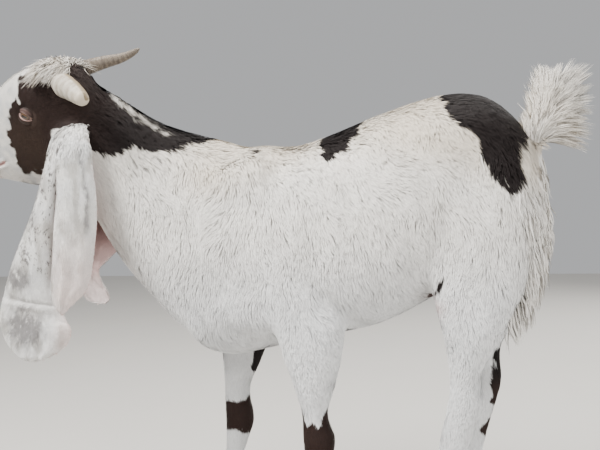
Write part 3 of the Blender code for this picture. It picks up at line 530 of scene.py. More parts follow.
def coatAt(points):
    # way, length and stand of the hair at each point
    found = np.zeros((len(points), 5))
    for start in range(0, len(points), 20000):
        some = points[start:start + 20000]
        apart = ((some[:, None, :] - anchors[None, :, :3]) ** 2).sum(2) + 2e-4
        weight = apart ** -2.5
        found[start:start + 20000] = weight @ anchors[:, 3:] / weight.sum(1)[:, None]
    return found[:, :3], found[:, 3], found[:, 4]


# markings, shared by skin and coat, and a line of painted shade in the stifle fold
tones = {
    "white": (0.82, 0.80, 0.765),
    "cool": (0.78, 0.79, 0.80),
    "cream": (0.74, 0.65, 0.52),
    "taupe": (0.45, 0.40, 0.33),
    "black": (0.011, 0.008, 0.008),
    "brown": (0.030, 0.017, 0.014),
    "cheek": (0.042, 0.027, 0.021),
    "grey": (0.30, 0.285, 0.29),
    "pink": (0.66, 0.40, 0.37),
    "lip": (0.60, 0.35, 0.33),
}
tones = {name: np.array(value) for name, value in tones.items()}
# outlines seen from the side, in the goat's frame: x, z
marks = {
    "croup": [(0.214, 0.77), (0.220, 0.722), (0.229, 0.700), (0.240, 0.685), (0.259, 0.667), (0.274, 0.652),
              (0.285, 0.625), (0.297, 0.613), (0.307, 0.597), (0.319, 0.578), (0.332, 0.584), (0.338, 0.605),
              (0.341, 0.645), (0.345, 0.680), (0.340, 0.77)],
    "back": [(0.032, 0.72), (0.038, 0.664), (0.046, 0.649), (0.061, 0.636), (0.077, 0.639), (0.095, 0.646),
             (0.103, 0.660), (0.112, 0.74)],
    "neck": [(-0.300, 0.655), (-0.273, 0.656), (-0.254, 0.661), (-0.232, 0.660), (-0.210, 0.656),
             (-0.187, 0.655), (-0.166, 0.660), (-0.138, 0.668), (-0.124, 0.678), (-0.108, 0.76),
             (-0.350, 0.90), (-0.350, 0.66)],
    # in the head's frame: forward, up
    "face": [(-0.150, 0.100), (-0.092, 0.075), (-0.082, 0.062), (-0.057, 0.059), (-0.036, 0.057),
             (-0.010, 0.050), (0.001, 0.039), (0.009, 0.026), (0.031, -0.002), (0.038, -0.021),
             (0.044, -0.042), (0.049, -0.063), (0.049, -0.082), (0.034, -0.098), (-0.020, -0.102),
             (-0.060, -0.092), (-0.100, -0.088), (-0.150, -0.090)],
}


# small dark patches: reach from a line, and the line's two ends
smallMarks = [
    (0.0320, (-0.080, 0.066, 0.348), (-0.086, 0.080, 0.305)),
    (0.0200, (0.293, 0.084, 0.320), (0.289, 0.084, 0.256)),
    (0.0120, (0.266, 0.084, 0.225), (0.264, 0.084, 0.205)),
    (0.0065, (-0.070, -0.034, 0.655), (-0.058, -0.036, 0.650)),
]


def darkness(points):
    # 0 on white hair, 1 on dark hair and on a thin line of painted shade in the stifle fold
    x, y, z = points.T
    head = toHead(points)
    rough = (cloudy(points, 0.009) - 0.5) * 0.011 + (cloudy(points, 0.03, 7.0) - 0.5) * 0.014
    farLift = np.maximum(0, y) * 0.35
    deep = insideBy(x, z - farLift, marks["croup"])
    deep = np.maximum(deep, insideBy(x, z - farLift, marks["back"]))
    onHead = ramp(-x, 0.27, 0.29)
    deep = np.maximum(deep, np.where(x < -0.10, insideBy(x, z, marks["neck"]), -1))
    face = np.where((head[:, 0] > -0.15) & (onHead > 0), insideBy(head[:, 0], head[:, 2], marks["face"]), -1)
    deep = np.maximum(deep, face * 0.7)
    kneeHigh = 0.042 + 0.022 * ramp(abs(x - 0.036), 0.006, 0.020)
    deep = np.maximum(deep, np.where((y < -0.05) & (abs(x - 0.035) < 0.05), kneeHigh - abs(z - 0.209), -1))
    deep = np.maximum(deep, np.where((y > 0.04) & (abs(x + 0.14) < 0.05), 0.030 - abs(z - 0.218), -1))
    for reach, first, last in smallMarks:
        deep = np.maximum(deep, reach - nearLine(points, first, last))
    # painted shade: a thin dark line in the fold between the belly and the near thigh
    flat = points * np.array([1.0, 0.0, 1.0])
    fold = np.minimum(nearLine(flat, (0.2315, 0.0, 0.4635), (0.2185, 0.0, 0.4465)),
                      nearLine(flat, (0.2185, 0.0, 0.4465), (0.2055, 0.0, 0.4315)))
    deep = np.maximum(deep, np.where(y < -0.03, 0.0042 - fold, -1))
    dark = ramp(deep + rough, -0.0012, 0.0012)
    streak = 0.012 - nearLine(points, (-0.282, -0.036, 0.745), (-0.200, -0.034, 0.688))
    dark = dark * (1 - 0.75 * ramp(streak + rough, -0.004, 0.004))
    brow = np.minimum(nearLine(head, (0.004, 0.040, 0.034), (-0.001, 0.043, 0.025)),
                      nearLine(head, (-0.001, 0.043, 0.025), (-0.004, 0.047, 0.016)))
    brow = ramp(0.0024 - brow, -0.0008, 0.0008)
    dark = dark * (1 - 0.8 * brow)
    earRoot = nearLine(points, (-0.363, -0.100, 0.687), (-0.298, -0.100, 0.677))
    dark = dark * (1 - ramp(0.0135 - earRoot, 0.0, 0.003))
    flecks = ramp(cloudy(points, 0.0045, 3.0), 0.73, 0.81) * ramp(x, -0.285, -0.26) * ramp(-x, 0.16, 0.19) \
        * ramp(z, 0.605, 0.635)
    return np.clip(dark + flecks * 0.7, 0, 1)


def bareness(head):
    # 0 where hair grows, 1 on the nose pad and lips
    forward, side, up = head.T
    pad = ramp(0.0135 - np.sqrt(((forward - 0.152) / 1.1) ** 2 + (up + 0.057) ** 2
                                + (np.maximum(0, abs(side) - 0.012) * 1.6) ** 2), 0.0, 0.003)
    edge = abs(up - lipLine(forward))
    lip = ramp(forward, 0.074, 0.080) * ramp(0.0042 - edge, 0.0, 0.0018)
    return np.clip(pad + lip, 0, 1)


def lipLine(forward):
    heights = [-0.0690, -0.0720, -0.0745, -0.0770, -0.0770]
    return np.interp(forward, [0.070, 0.084, 0.105, 0.130, 0.165], heights)


def coatTone(points):
    # colour of hair or skin at each point, linear
    x, y, z = points.T
    head = toHead(points)
    soft = cloudy(points, 0.06, 2.0)
    warm = np.clip(ramp(z, 0.56, 0.70) * (0.25 + 0.75 * soft) * 0.85, 0, 1)
    warm = warm * (1 - ramp(-x, 0.26, 0.32))
    spine = ramp(z - 0.030 * np.sin((x + 0.02) * 12.0), 0.590, 0.655) * ramp(x, -0.22, -0.12)
    colour = mixed(mixed(tones["cool"], tones["white"], ramp(z, 0.40, 0.56)), tones["cream"], warm * 0.55)
    colour = colour * (0.90 + 0.16 * cloudy(points * np.array([1.0, 1.0, 0.55]), 0.022, 6.0))[:, None]
    colour = mixed(colour, tones["cream"] * 0.80, spine * (0.45 + 0.55 * soft) * 0.85)
    face = ramp(head[:, 0], -0.03, 0.03) * ramp(-x, 0.30, 0.34)
    colour = mixed(colour, tones["cool"] * 0.80, face * ramp(cloudy(points, 0.011, 12.0), 0.45, 0.85) * 0.7)
    rosy = tones["pink"] * 0.5 + tones["white"] * 0.5
    colour = mixed(colour, rosy, face * ramp(head[:, 0], 0.085, 0.135) * 0.45)
    shade = mixed(tones["black"] * np.ones_like(points), tones["brown"], ramp(-x, 0.25, 0.34) * 0.6)
    cheek = ramp(head[:, 0], -0.05, -0.01) * ramp(-head[:, 2], -0.012, 0.02)
    shade = mixed(shade, tones["cheek"], cheek * (0.5 + 0.5 * soft))
    legs = ramp(-z, -0.30, -0.26)
    shade = mixed(shade, tones["brown"], legs * 0.8)
    colour = mixed(colour, shade, darkness(points))
    bald = 0.6 * np.exp(-((x - 0.213) / 0.016) ** 2 - ((z - 0.425) / 0.012) ** 2) * ramp(-y, 0.02, 0.05)
    knee = 0.0065 - nearLine(points, (0.013, -0.086, 0.221), (0.013, -0.086, 0.212))
    bald = bald + 0.7 * ramp(knee, -0.003, 0.003)
    return mixed(colour, tones["pink"] * 0.8, np.clip(bald, 0, 1))


# grey patches of the ears: x, z, spread, strength; rear edge of the near flap, followed by a line of painted
# shade: z, x
earTones = {
    "patches": [(-0.412, 0.470, 0.018, 1.9), (-0.432, 0.478, 0.013, 1.5), (-0.402, 0.400, 0.030, 2.0),
                (-0.385, 0.560, 0.012, 0.6)],
    "speckle": 0.0036,
    "edge": ([0.46, 0.50, 0.54, 0.592, 0.64, 0.68], [-0.300, -0.292, -0.287, -0.285, -0.291, -0.299]),
    # far ear's inside: pink with painted shade, darkest at the top, lighter lower down and on the pale lobe
    "farTop": (0.150, 0.085, 0.078),
    "farLow": (0.36, 0.255, 0.245),
    "farLobe": (0.50, 0.43, 0.42),
}


def earTone(points, outward, side):
    # white with dark specks and grey smudges outside, and a line of painted shade by the near flap's rear
    # edge; pink inside, on the far ear darkened by painted shade toward its top
    x, y, z = points.T
    soft = cloudy(points, 0.03, 5.0)
    fine = cloudy(points * np.array([1.4, 1.0, 0.8]), 0.0045, 2.0)
    white = mixed(tones["white"] * np.ones_like(points), tones["cool"], soft)
    mottle = cloudy(points * np.array([1.5, 1.0, 0.5]), 0.011, 8.0)
    white = mixed(white, tones["white"] * 0.66, ramp(mottle, 0.42, 0.85))
    low = ramp(-z, -0.58, -0.44)
    white = mixed(white, tones["pink"] * 0.55 + tones["white"] * 0.45, low * ramp(x, -0.37, -0.33) * 0.6)
    smudge = np.zeros(len(points))
    for px, pz, spread, strength in earTones["patches"]:
        smudge = smudge + strength * np.exp(-((x - px) / spread) ** 2 - ((z - pz) / spread) ** 2)
    smudge = smudge * (0.25 + 0.6 * soft + 1.1 * (fine - 0.4))
    white = mixed(white, tones["grey"] * 0.55, np.clip(smudge, 0, 0.85))
    specks = ramp(cloudy(points * np.array([1.6, 1.0, 0.8]), earTones["speckle"], 1.0), 0.70, 0.77)
    band = np.exp(-((x + 0.352 + (0.62 - z) * 0.18) / 0.020) ** 2) * ramp(z, 0.46, 0.50)
    front = 0.8 * np.exp(-((x + 0.400) / 0.022) ** 2) * ramp(z, 0.48, 0.50) * ramp(-z, -0.57, -0.54)
    band = np.maximum(band, front)
    white = mixed(white, tones["black"] * 5, np.clip(specks * band * 1.3, 0, 0.85))
    # painted shade: a grey line just inside the near flap's rear edge
    if side < 0:
        edge = np.interp(z, *earTones["edge"])
        line = np.exp(-((x - edge + 0.009) / 0.0035) ** 2) * ramp(z, 0.52, 0.56) * ramp(-z, -0.68, -0.65)
        white = mixed(white, tones["grey"] * 0.5, np.clip(line * (0.2 + fine), 0, 0.75))
    inner = ramp(outward[:, 1] * -side, 0.0, 0.3)
    inside = mixed(tones["pink"] * np.ones_like(points), tones["pink"] * 0.8, soft)
    # painted shade: the far ear's pink inside darkens toward its top
    if side > 0:
        far = np.tile(earTones["farTop"], (len(points), 1))
        far = mixed(far, np.array(earTones["farLow"]), ramp(-z, -0.54, -0.475))
        far = mixed(far, np.array(earTones["farLobe"]), ramp(-z, -0.470, -0.435))
        inside = far * (0.82 + 0.36 * soft)[:, None]
    return mixed(white, inside, inner)


# horns: middle line and thickness
horns = {
    "left": {"sign": 1, "base": (-0.0773, 0.0344, 0.0300), "reach": (-0.0752, 0.0592, -0.0295), "flick": 0.0,
             "radius": 0.0214, "flat": 0.92, "ridges": 4, "tip": 0.0062, "keel": 0.18, "root": 0.62,
             "taper": 0.38, "tone": "hornPale"},
    "right": {"sign": -1, "base": (-0.068, 0.024, 0.036), "reach": (-0.086, 0.076, -0.006), "flick": 0.012,
              "radius": 0.0140, "flat": 0.85, "ridges": 11, "tip": 0.0024, "keel": 0.06, "root": 1.0,
              "taper": 0.62, "tone": "hornGrey"},
}
hornArch = 0.004
hornTones = {
    "hornPale": {"pale": (0.43, 0.395, 0.34), "deep": (0.20, 0.165, 0.125), "tip": (0.50, 0.44, 0.35),
                 "bands": 38, "olive": ((0.15, 0.115, 0.065), (0.27, 0.21, 0.13))},
    "hornGrey": {"pale": (0.16, 0.13, 0.10), "deep": (0.07, 0.054, 0.043), "tip": (0.12, 0.10, 0.08),
                 "bands": 90},
}


def hornMiddle(look, t):
    lift = math.sin(math.pi * t) * hornArch + max(0.0, (t - 0.6) / 0.4) ** 2 * look["flick"]
    forward, side, up = (base + reach * t for base, reach in zip(look["base"], look["reach"]))
    return headSpot(forward, look["sign"] * side, up + lift)


def hornRadius(look, t):
    full = look["root"] + (1 - look["root"]) * min(1.0, t / 0.25)
    return ((look["radius"] - look["tip"]) * (1 - t) ** look["taper"] + look["tip"]) * full


def hornPaint(name):
    look = hornTones[name]
    paint = Paint(name, 0.45, 0.35)
    along = paint.attribute("along", "Fac")
    upper = paint.attribute("upper", "Fac")
    spot = paint.place()
    drawn = paint.join(paint.split(spot, 0) * 60, paint.split(spot, 1) * 60, along * 14)
    streaks = paint.noise(drawn, 2.0, 4.0)
    mottle = paint.noise(spot, 140.0, 4.0)
    bands = paint.node("ShaderNodeMath", {"operation": "SINE"}, {0: along * look["bands"] + streaks * 7})
    share = paint.span(bands * 0.16 + streaks * 0.7 + mottle, 0.42, 1.0)
    colour = paint.mix(share, look["deep"], look["pale"])
    colour = paint.mix(paint.span(along, 0.75, 1.0), colour, look["tip"])
    if "olive" in look:
        olive = paint.mix(mottle, *look["olive"])
        colour = paint.mix(paint.span(upper + mottle * 0.12, 0.62, 0.76), colour, olive)
    paint.into("Base Color", colour)
    paint.bump(bands * 0.35 + streaks + mottle * 0.5, 0.5, 0.0012)
    return paint.material


def makeHorn(name, side, look):
    steps = 64
    sides = 40
    keelWay = Vector((0.43, -0.60 * look["sign"], 0.67)).normalized()
    rings = []
    for k in range(steps + 1):
        t = k / steps
        here = hornMiddle(look, t * 0.995)
        along = (hornMiddle(look, t * 0.995 + 0.01) - here).normalized()
        first = along.cross(noseWay).normalized()
        second = along.cross(first).normalized()
        swell = math.sin(t * look["ridges"] * 2 * math.pi)
        radius = hornRadius(look, t) * (1 + 0.022 * max(swell, -0.4) * (1 - t) ** 0.4)
        if t > 0.93:
            radius = radius * math.sqrt(max(0.0, 1 - ((t - 0.93) / 0.075) ** 2))
        ring = []
        for turn in around(sides):
            away = first * math.cos(turn) + second * math.sin(turn) * look["flat"]
            gap = away.angle(keelWay)
            keel = 1 - 0.3 * look["keel"] + look["keel"] * math.exp(-(gap / 0.40) ** 2)
            ring.append(here + away * radius * keel)
        rings.append(ring)
    bm = bmesh.new()
    lofted(bm, rings)
    made = tuned(bm, name, hornPaint(look["tone"]))
    points = coordsOf(made.data) - shift
    line = np.array([hornMiddle(look, k / 40) for k in range(41)])
    nearest = np.argmin(((points[:, None] - line[None]) ** 2).sum(2), axis=1)
    keep(made.data, "along", "FLOAT", "value", nearest / 40)
    away = unit(points - line[nearest])
    keep(made.data, "upper", "FLOAT", "value", away @ unit(np.array([0.80, 0.10, 0.60])))
    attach(made, "root")
    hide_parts("horn_" + side)


# ears
# rows from root to tip in the goat's frame:
# front x and z, rear x and z, sideways place of the front and the rear edge, x of the groove
ears = {
    "nearBlade": {"sign": -1, "thick": 0.0034, "cup": 0.0125, "rows": 132, "columns": 34, "outline": [
        (-0.344, 0.706, -0.320, 0.708, -0.068, -0.070, -0.300),
        (-0.350, 0.695, -0.310, 0.697, -0.090, -0.092, -0.300),
        (-0.359, 0.680, -0.306, 0.680, -0.105, -0.108, -0.305),
        (-0.366, 0.640, -0.318, 0.640, -0.116, -0.118, -0.336),
        (-0.382, 0.590, -0.328, 0.592, -0.119, -0.119, -0.345),
        (-0.406, 0.542, -0.335, 0.540, -0.120, -0.119, -0.352),
        (-0.428, 0.497, -0.340, 0.492, -0.120, -0.119, -0.358),
        (-0.444, 0.452, -0.345, 0.450, -0.121, -0.120, -0.364),
        (-0.452, 0.424, -0.350, 0.426, -0.123, -0.122, -0.362),
        (-0.454, 0.404, -0.341, 0.405, -0.126, -0.124, -0.350),
        (-0.449, 0.386, -0.333, 0.390, -0.128, -0.126, -0.310),
        (-0.438, 0.368, -0.338, 0.372, -0.130, -0.128, -0.300),
        (-0.420, 0.352, -0.357, 0.355, -0.131, -0.130, -0.300),
        (-0.402, 0.343, -0.384, 0.344, -0.131, -0.131, -0.300)]},
    "nearFlap": {"sign": -1, "thick": 0.0032, "cup": 0.0085, "rows": 110, "columns": 28, "outline": [
        (-0.342, 0.706, -0.322, 0.704, -0.074, -0.070, 1.0),
        (-0.345, 0.694, -0.311, 0.692, -0.098, -0.090, 1.0),
        (-0.345, 0.680, -0.299, 0.678, -0.116, -0.104, 1.0),
        (-0.341, 0.640, -0.291, 0.640, -0.129, -0.112, 1.0),
        (-0.343, 0.592, -0.285, 0.592, -0.1325, -0.116, 1.0),
        (-0.348, 0.542, -0.287, 0.540, -0.1335, -0.118, 1.0),
        (-0.353, 0.500, -0.292, 0.500, -0.134, -0.120, 1.0),
        (-0.357, 0.465, -0.300, 0.462, -0.134, -0.122, 1.0),
        (-0.356, 0.443, -0.314, 0.441, -0.134, -0.125, 1.0),
        (-0.350, 0.427, -0.329, 0.427, -0.133, -0.128, 1.0),
        (-0.343, 0.416, -0.339, 0.416, -0.131, -0.130, 1.0)]},
    "farBlade": {"sign": 1, "thick": 0.0034, "cup": 0.015, "rows": 120, "columns": 32, "outline": [
        (-0.362, 0.722, -0.344, 0.723, 0.000, 0.000, 1.0), (-0.384, 0.706, -0.328, 0.713, 0.024, 0.026, 1.0),
        (-0.400, 0.655, -0.313, 0.662, 0.042, 0.044, 1.0), (-0.408, 0.605, -0.309, 0.603, 0.047, 0.050, 1.0),
        (-0.412, 0.553, -0.312, 0.548, 0.048, 0.052, 1.0), (-0.413, 0.515, -0.318, 0.512, 0.047, 0.052, 1.0),
        (-0.412, 0.486, -0.346, 0.484, 0.045, 0.049, 1.0), (-0.409, 0.468, -0.364, 0.466, 0.043, 0.044, 1.0),
        (-0.406, 0.450, -0.359, 0.448, 0.041, 0.038, 1.0), (-0.400, 0.434, -0.345, 0.430, 0.038, 0.030, 1.0),
        (-0.390, 0.420, -0.339, 0.417, 0.034, 0.024, 1.0),
        (-0.374, 0.410, -0.347, 0.409, 0.029, 0.022, 1.0)]},
}


def earRings(name, look):
    count = look["rows"]
    outward = Vector((0.0, float(look["sign"]), 0.0))
    rows = look["outline"]
    rings = []
    for k in range(count + 1):
        t = k / count
        fx, fz, rx, rz, fy, ry, gx = blendRows(rows, t * (len(rows) - 1))
        front = Vector((fx, fy, fz))
        rear = Vector((rx, ry, rz))
        middle = (front + rear) * 0.5
        half = (rear - front) * 0.5
        if t > 0.97:
            half = half * math.sqrt(max(0.04, 1 - ((t - 0.97) / 0.031) ** 2))
        opened = min(1.0, half.length / 0.028)
        valley = min(1.0, (gx - fx) / (rx - fx) * 2 - 1)
        ring = []
        for turn in around(look["columns"] * 2):
            v = math.cos(turn)
            onFront = min(1.0, (v + 1) / (valley + 1)) * 2 - 1      # the front fold ends at the groove
            swell = look["cup"] * max(0.0, 1 - abs(onFront) ** 2.6) * opened
            curl = 0.0030 * max(0.0, (abs(v) - 0.80) / 0.20) ** 2 * opened
            fine = 0.0011 * math.sin(t * 33 + v * 2.2) * (1 - t) + 0.0009 * math.sin(t * 19 - v * 4.0)
            fine += 0.0009 * math.sin(v * 9 + 3 * t) * opened
            if name == "nearBlade":
                crease = math.exp(-((t - 0.583 - 0.030 * v) / 0.009) ** 2) - 0.7 * math.exp(
                    -((t - 0.606 - 0.030 * v) / 0.011) ** 2)
                fine -= 0.0042 * crease * (1 - v * v)
                lobe = max(0.0, min(1.0, (t - 0.63) * 8))
                fine -= lobe * 0.0032 * math.exp(-((v - 0.12 - 1.2 * (t - 0.8)) / 0.22) ** 2)
            if name == "nearFlap":
                fine += 0.0024 * math.exp(-((v + 0.42 - 0.3 * t) / 0.15) ** 2)
            place = middle + half * v + outward * (swell - curl + fine)
            thick = look["thick"] * 0.5 * abs(math.sin(turn)) ** 0.6 * (1 if math.sin(turn) >= 0 else -1)
            ring.append(place + outward * thick)
        rings.append(ring)
    return rings


# skin
skinLook = {
    "voxel": 0.0062,
    "swell": 0.0007,
    "smooth": 4,
    "inset": 0.75,
    "lockSmooth": 42,
}
fleshNodes = ["head", "neck", "torso", "rump", "tail"]
fleshNodes += ["%sleg_%s_%s" % (pair, side, part) for pair in ("fore", "hind") for side in ("left", "right")
               for part in ("upper", "lower")]
earNodes = ["ear_left", "ear_right"]
dockLine = [(0.330, 0.612, 0.016), (0.352, 0.640, 0.0165), (0.364, 0.668, 0.014), (0.372, 0.690, 0.010),
            (0.377, 0.704, 0.005)]


def addSwollen(bm, name, keepAbove=None):
    part = bmesh.new()
    part.from_mesh(nodes[name].data)
    bmesh.ops.remove_doubles(part, verts=part.verts, dist=0.00001)
    if keepAbove is not None:
        geom = list(part.verts) + list(part.edges) + list(part.faces)
        cut = bmesh.ops.bisect_plane(part, geom=geom, plane_co=(0, 0, keepAbove), plane_no=(0, 0, -1),
                                     clear_outer=True)
        bmesh.ops.holes_fill(part, edges=[e for e in cut["geom_cut"] if isinstance(e, bmesh.types.BMEdge)])
    part.normal_update()
    for vertex in part.verts:
        vertex.co += vertex.normal * skinLook["swell"]
    mesh = bpy.data.meshes.new("part")
    part.to_mesh(mesh)
    part.free()
    bm.from_mesh(mesh)
    bpy.data.meshes.remove(mesh)


def dockRings():
    rings = []
    for k in range(17):
        x, z, radius = blendRows(dockLine, k / 16 * (len(dockLine) - 1))
        ring = []
        for turn in around(20):
            back = radius * math.cos(turn)
            ring.append(Vector((x + 0.95 * back, radius * math.sin(turn), z + 0.35 * back)))
        rings.append(ring)
    return rings


def skinBase():
    bm = bmesh.new()
    for name in fleshNodes:
        if name != "tail":
            addSwollen(bm, name)
    for name in ("eye_left", "eye_right", "horn_left", "horn_right"):
        addSwollen(bm, name)
    for name in earNodes:
        addSwollen(bm, name, keepAbove=0.690)
    bmesh.ops.translate(bm, verts=bm.verts, vec=Vector(-shift))
    lofted(bm, dockRings())
    mesh = bpy.data.meshes.new("skinBase")
    bm.to_mesh(mesh)
    bm.free()
    piece = addPiece("skinBase", mesh)
    remesh = piece.modifiers.new("remesh", "REMESH")
    remesh.mode = "VOXEL"
    remesh.voxel_size = skinLook["voxel"]
    graph = bpy.context.evaluated_depsgraph_get()
    made = bpy.data.meshes.new_from_object(piece.evaluated_get(graph))
    bpy.data.objects.remove(piece)
    return made


def lockZone(points):
    # 1 where the solids carry locks that the skin leaves out
    x, y, z = points.T
    head = toHead(points)
    poll = ramp(0.062 - np.linalg.norm((head - np.array([-0.045, 0, 0.062])) * [1, 1, 1.4], axis=1), 0, 0.02)
    crest = ramp(0.055 - nearLine(points, (-0.315, -0.040, 0.762), (-0.110, 0.0, 0.675)), 0, 0.02)
    breech = ramp(x, 0.285, 0.315) * ramp(z, 0.35, 0.39) * ramp(-z, -0.66, -0.62)
    return np.clip(np.maximum.reduce([poll, crest, breech]), 0, 1)


def largestShell(mesh):
    # keeps the shell with the most vertices
    bm = bmesh.new()
    bm.from_mesh(mesh)
    left = set(bm.verts)
    best = []
    while left:
        seed = left.pop()
        shell = [seed]
        todo = [seed]
        while todo:
            for edge in todo.pop().link_edges:
                for vertex in edge.verts:
                    if vertex in left:
                        left.discard(vertex)
                        shell.append(vertex)
                        todo.append(vertex)
        if len(shell) > len(best):
            best = shell
    keep = set(best)
    bmesh.ops.delete(bm, geom=[v for v in bm.verts if v not in keep], context="VERTS")
    bm.to_mesh(mesh)
    bm.free()


def refineHead(mesh):
    # finer faces on the head, finer again on the muzzle, finest at lips and nostrils
    spots = [toHead(spot) for spot in eyeSpots.values()]

    def onHead(h):
        return h[0] > -0.105 and abs(h[1]) < 0.07

    def onMuzzle(h):
        return h[0] > 0.066

    def atDetail(h):
        nearEye = min(np.linalg.norm(h - spot) for spot in spots) < 0.027
        nearLip = abs(h[2] - lipLine(h[0])) < 0.007 or (h[0] > 0.130 and h[2] > -0.062)
        return nearEye or (h[0] > 0.072 and nearLip)

    for box in (onHead, onMuzzle, atDetail):
        bm = bmesh.new()
        bm.from_mesh(mesh)
        bm.verts.ensure_lookup_table()
        heads = toHead(np.array([v.co for v in bm.verts]))
        inside = [bool(box(h)) for h in heads]
        edges = [e for e in bm.edges if inside[e.verts[0].index] and inside[e.verts[1].index]]
        bmesh.ops.subdivide_edges(bm, edges=edges, cuts=1, use_grid_fill=True)
        bm.to_mesh(mesh)
        bm.free()


# soft valleys on both sides of the body: line in x, z, width and depth in mm
valleys = [
    ((0.094, 0.398), (0.046, 0.455), 13, 4.5), ((0.046, 0.455), (0.017, 0.490), 15, 3.0),
    ((0.228, 0.455), (0.265, 0.525), 15, 4.0), ((0.265, 0.525), (0.291, 0.590), 17, 2.5),
    ((0.058, 0.600), (0.044, 0.484), 16, 2.5),
    ((-0.108, 0.530), (-0.055, 0.597), 16, 3.0), ((-0.055, 0.597), (-0.016, 0.635), 14, 2.5),
    ((-0.150, 0.420), (-0.125, 0.370), 12, 2.5),
]


def sculptBody(points, normals):
    spots = points * np.array([1.0, 0.0, 1.0])
    move = np.zeros(len(points))
    for (ax, az), (bx, bz), wide, deep in valleys:
        apart = nearLine(spots, (ax, 0.0, az), (bx, 0.0, bz)) * 1000 / wide
        move = np.maximum(move, deep * np.exp(-apart ** 2))
    return points - normals * (move * 0.001 * ramp(abs(points[:, 1]), 0.030, 0.055))[:, None]


def sculptFace(points, normals):
    # mouth line, lips, nostrils, chin and eye pits, along the skin's own normals
    head = toHead(points)
    forward, side, up = head.T
    move = np.zeros(len(points))
    front = ramp(forward, 0.072, 0.082)
    off = up - lipLine(forward)
    move -= front * 0.0034 * np.exp(-(off / 0.0016) ** 2)
    move += front * 0.0014 * np.exp(-((off - 0.0052) / 0.0030) ** 2)
    move += front * 0.0012 * np.exp(-((off + 0.0052) / 0.0030) ** 2)
    groove = ramp(forward, 0.132, 0.142) * np.exp(-(side / 0.0014) ** 2) * ramp(up, -0.076, -0.070) \
        * ramp(-up, 0.036, 0.046)
    move -= 0.0020 * groove
    for sign in (-1, 1):
        slantUp = (up + 0.0465) * 0.86 + (forward - 0.1450) * 0.5
        slantOn = (forward - 0.1450) * 0.86 - (up + 0.0465) * 0.5
        across = side - sign * 0.0150 - slantOn * sign * -0.35
        pit = np.exp(-(slantUp / 0.0030) ** 2 - (across / 0.0062) ** 2 - (slantOn / 0.0100) ** 2)
        move -= 0.0062 * pit
        rim = np.exp(-((slantUp - 0.0058) / 0.0030) ** 2 - (across / 0.0085) ** 2 - (slantOn / 0.011) ** 2)
        move += 0.0016 * rim
    points = points + normals * move[:, None]
    for sign, middle in eyeSpots.items():
        gap = points - middle
        apart = np.linalg.norm(gap, axis=1)
        facing = (gap / np.maximum(apart, 1e-6)[:, None]) @ (headBasis[1] * sign)
        pull = ramp(facing, 0.35, 0.62) * (apart < 0.030)
        wanted = np.minimum(apart, goat["eyeRadius"] - 0.0020)
        points = points - unit(gap) * ((apart - wanted) * pull)[:, None]
    return points


def slimHorns(points):
    # the skin inside each horn shrinks toward its middle line
    for look in horns.values():
        line = np.array([hornMiddle(look, k / 30) for k in range(31)])
        apart = np.linalg.norm(points[:, None] - line[None], axis=2)
        nearest = apart.argmin(1)
        radius = np.array([hornRadius(look, k / 30) for k in range(31)])[nearest]
        inside = (apart.min(1) < radius + 0.0035) & (nearest >= 4)
        points = np.where(inside[:, None], line[nearest] + (points - line[nearest]) * 0.55, points)
    return points


def makeSkin():
    mesh = skinBase()
    largestShell(mesh)
    points = coordsOf(mesh)
    edges = edgesOf(mesh)
    points = relax(points, edges, np.full(len(points), 0.5), skinLook["smooth"])
    points = relax(points, edges, lockZone(points) * 0.5, skinLook["lockSmooth"])
    setCoords(mesh, points)
    inward = normalsOf(mesh) * (coatAt(points)[2] * skinLook["inset"])[:, None]
    points = sculptBody(points, normalsOf(mesh)) - inward
    points = relax(points, edges, np.full(len(points), 0.3), 2)
    setCoords(mesh, slimHorns(points))
    refineHead(mesh)
    points = coordsOf(mesh)
    finer = ramp(toHead(points)[:, 0], -0.11, -0.08)
    points = relax(points, edgesOf(mesh), finer * 0.4, 3)
    setCoords(mesh, points)
    points = sculptFace(points, normalsOf(mesh))
    setCoords(mesh, points)
    bm = bmesh.new()
    bm.from_mesh(mesh)
    sideOf = []
    for name, look in ears.items():
        ear = bmesh.new()
        lofted(ear, earRings(name, look))
        held = bpy.data.meshes.new("ear")
        ear.to_mesh(held)
        ear.free()
        before = len(bm.verts)
        bm.from_mesh(held)
        bpy.data.meshes.remove(held)
        sideOf.append((before, len(bm.verts), look["sign"]))
    bm.normal_update()
    bm.to_mesh(mesh)
    bm.free()
    mesh.shade_smooth()
    points = coordsOf(mesh)
    outward = normalsOf(mesh)
    tone = coatTone(points)
    bare = bareness(toHead(points))
    pinkish = mixed(tones["lip"] * np.ones_like(points), tones["lip"] * 0.75, cloudy(points, 0.01))
    tone = mixed(tone, pinkish, bare * 0.9)
    for before, after, sign in sideOf:
        tone[before:after] = earTone(points[before:after], outward[before:after], sign)
    keepTone(mesh, tone)
    piece = addPiece("skin", mesh)
    bpy.context.view_layer.objects.active = piece
    piece.select_set(True)
    bpy.ops.object.mode_set(mode="EDIT")
    bpy.ops.mesh.select_all(action="SELECT")
    bpy.ops.uv.smart_project(angle_limit=math.radians(66), island_margin=0.001)
    bpy.ops.object.mode_set(mode="OBJECT")
    return piece, sideOf


def skinPaint():
    paint = Paint("skinPaint", 0.62, 0.20)
    spot = paint.place()
    fine = paint.noise(spot, 900.0, 3.0)
    broad = paint.noise(spot, 120.0, 3.0)
    tone = paint.attribute("tone")
    shade = paint.mix(paint.span(broad, 0.3, 0.7), (0.82, 0.82, 0.82), (1.0, 1.0, 1.0))
    paint.into("Base Color", paint.mix(1.0, tone, shade, "MULTIPLY"))
    paint.bump(fine * 0.6 + broad, 0.35, 0.0008)
    return paint.material


skin, earSpans = makeSkin()
skin.data.materials.append(skinPaint())
print("skin:", len(skin.data.vertices), "vertices")

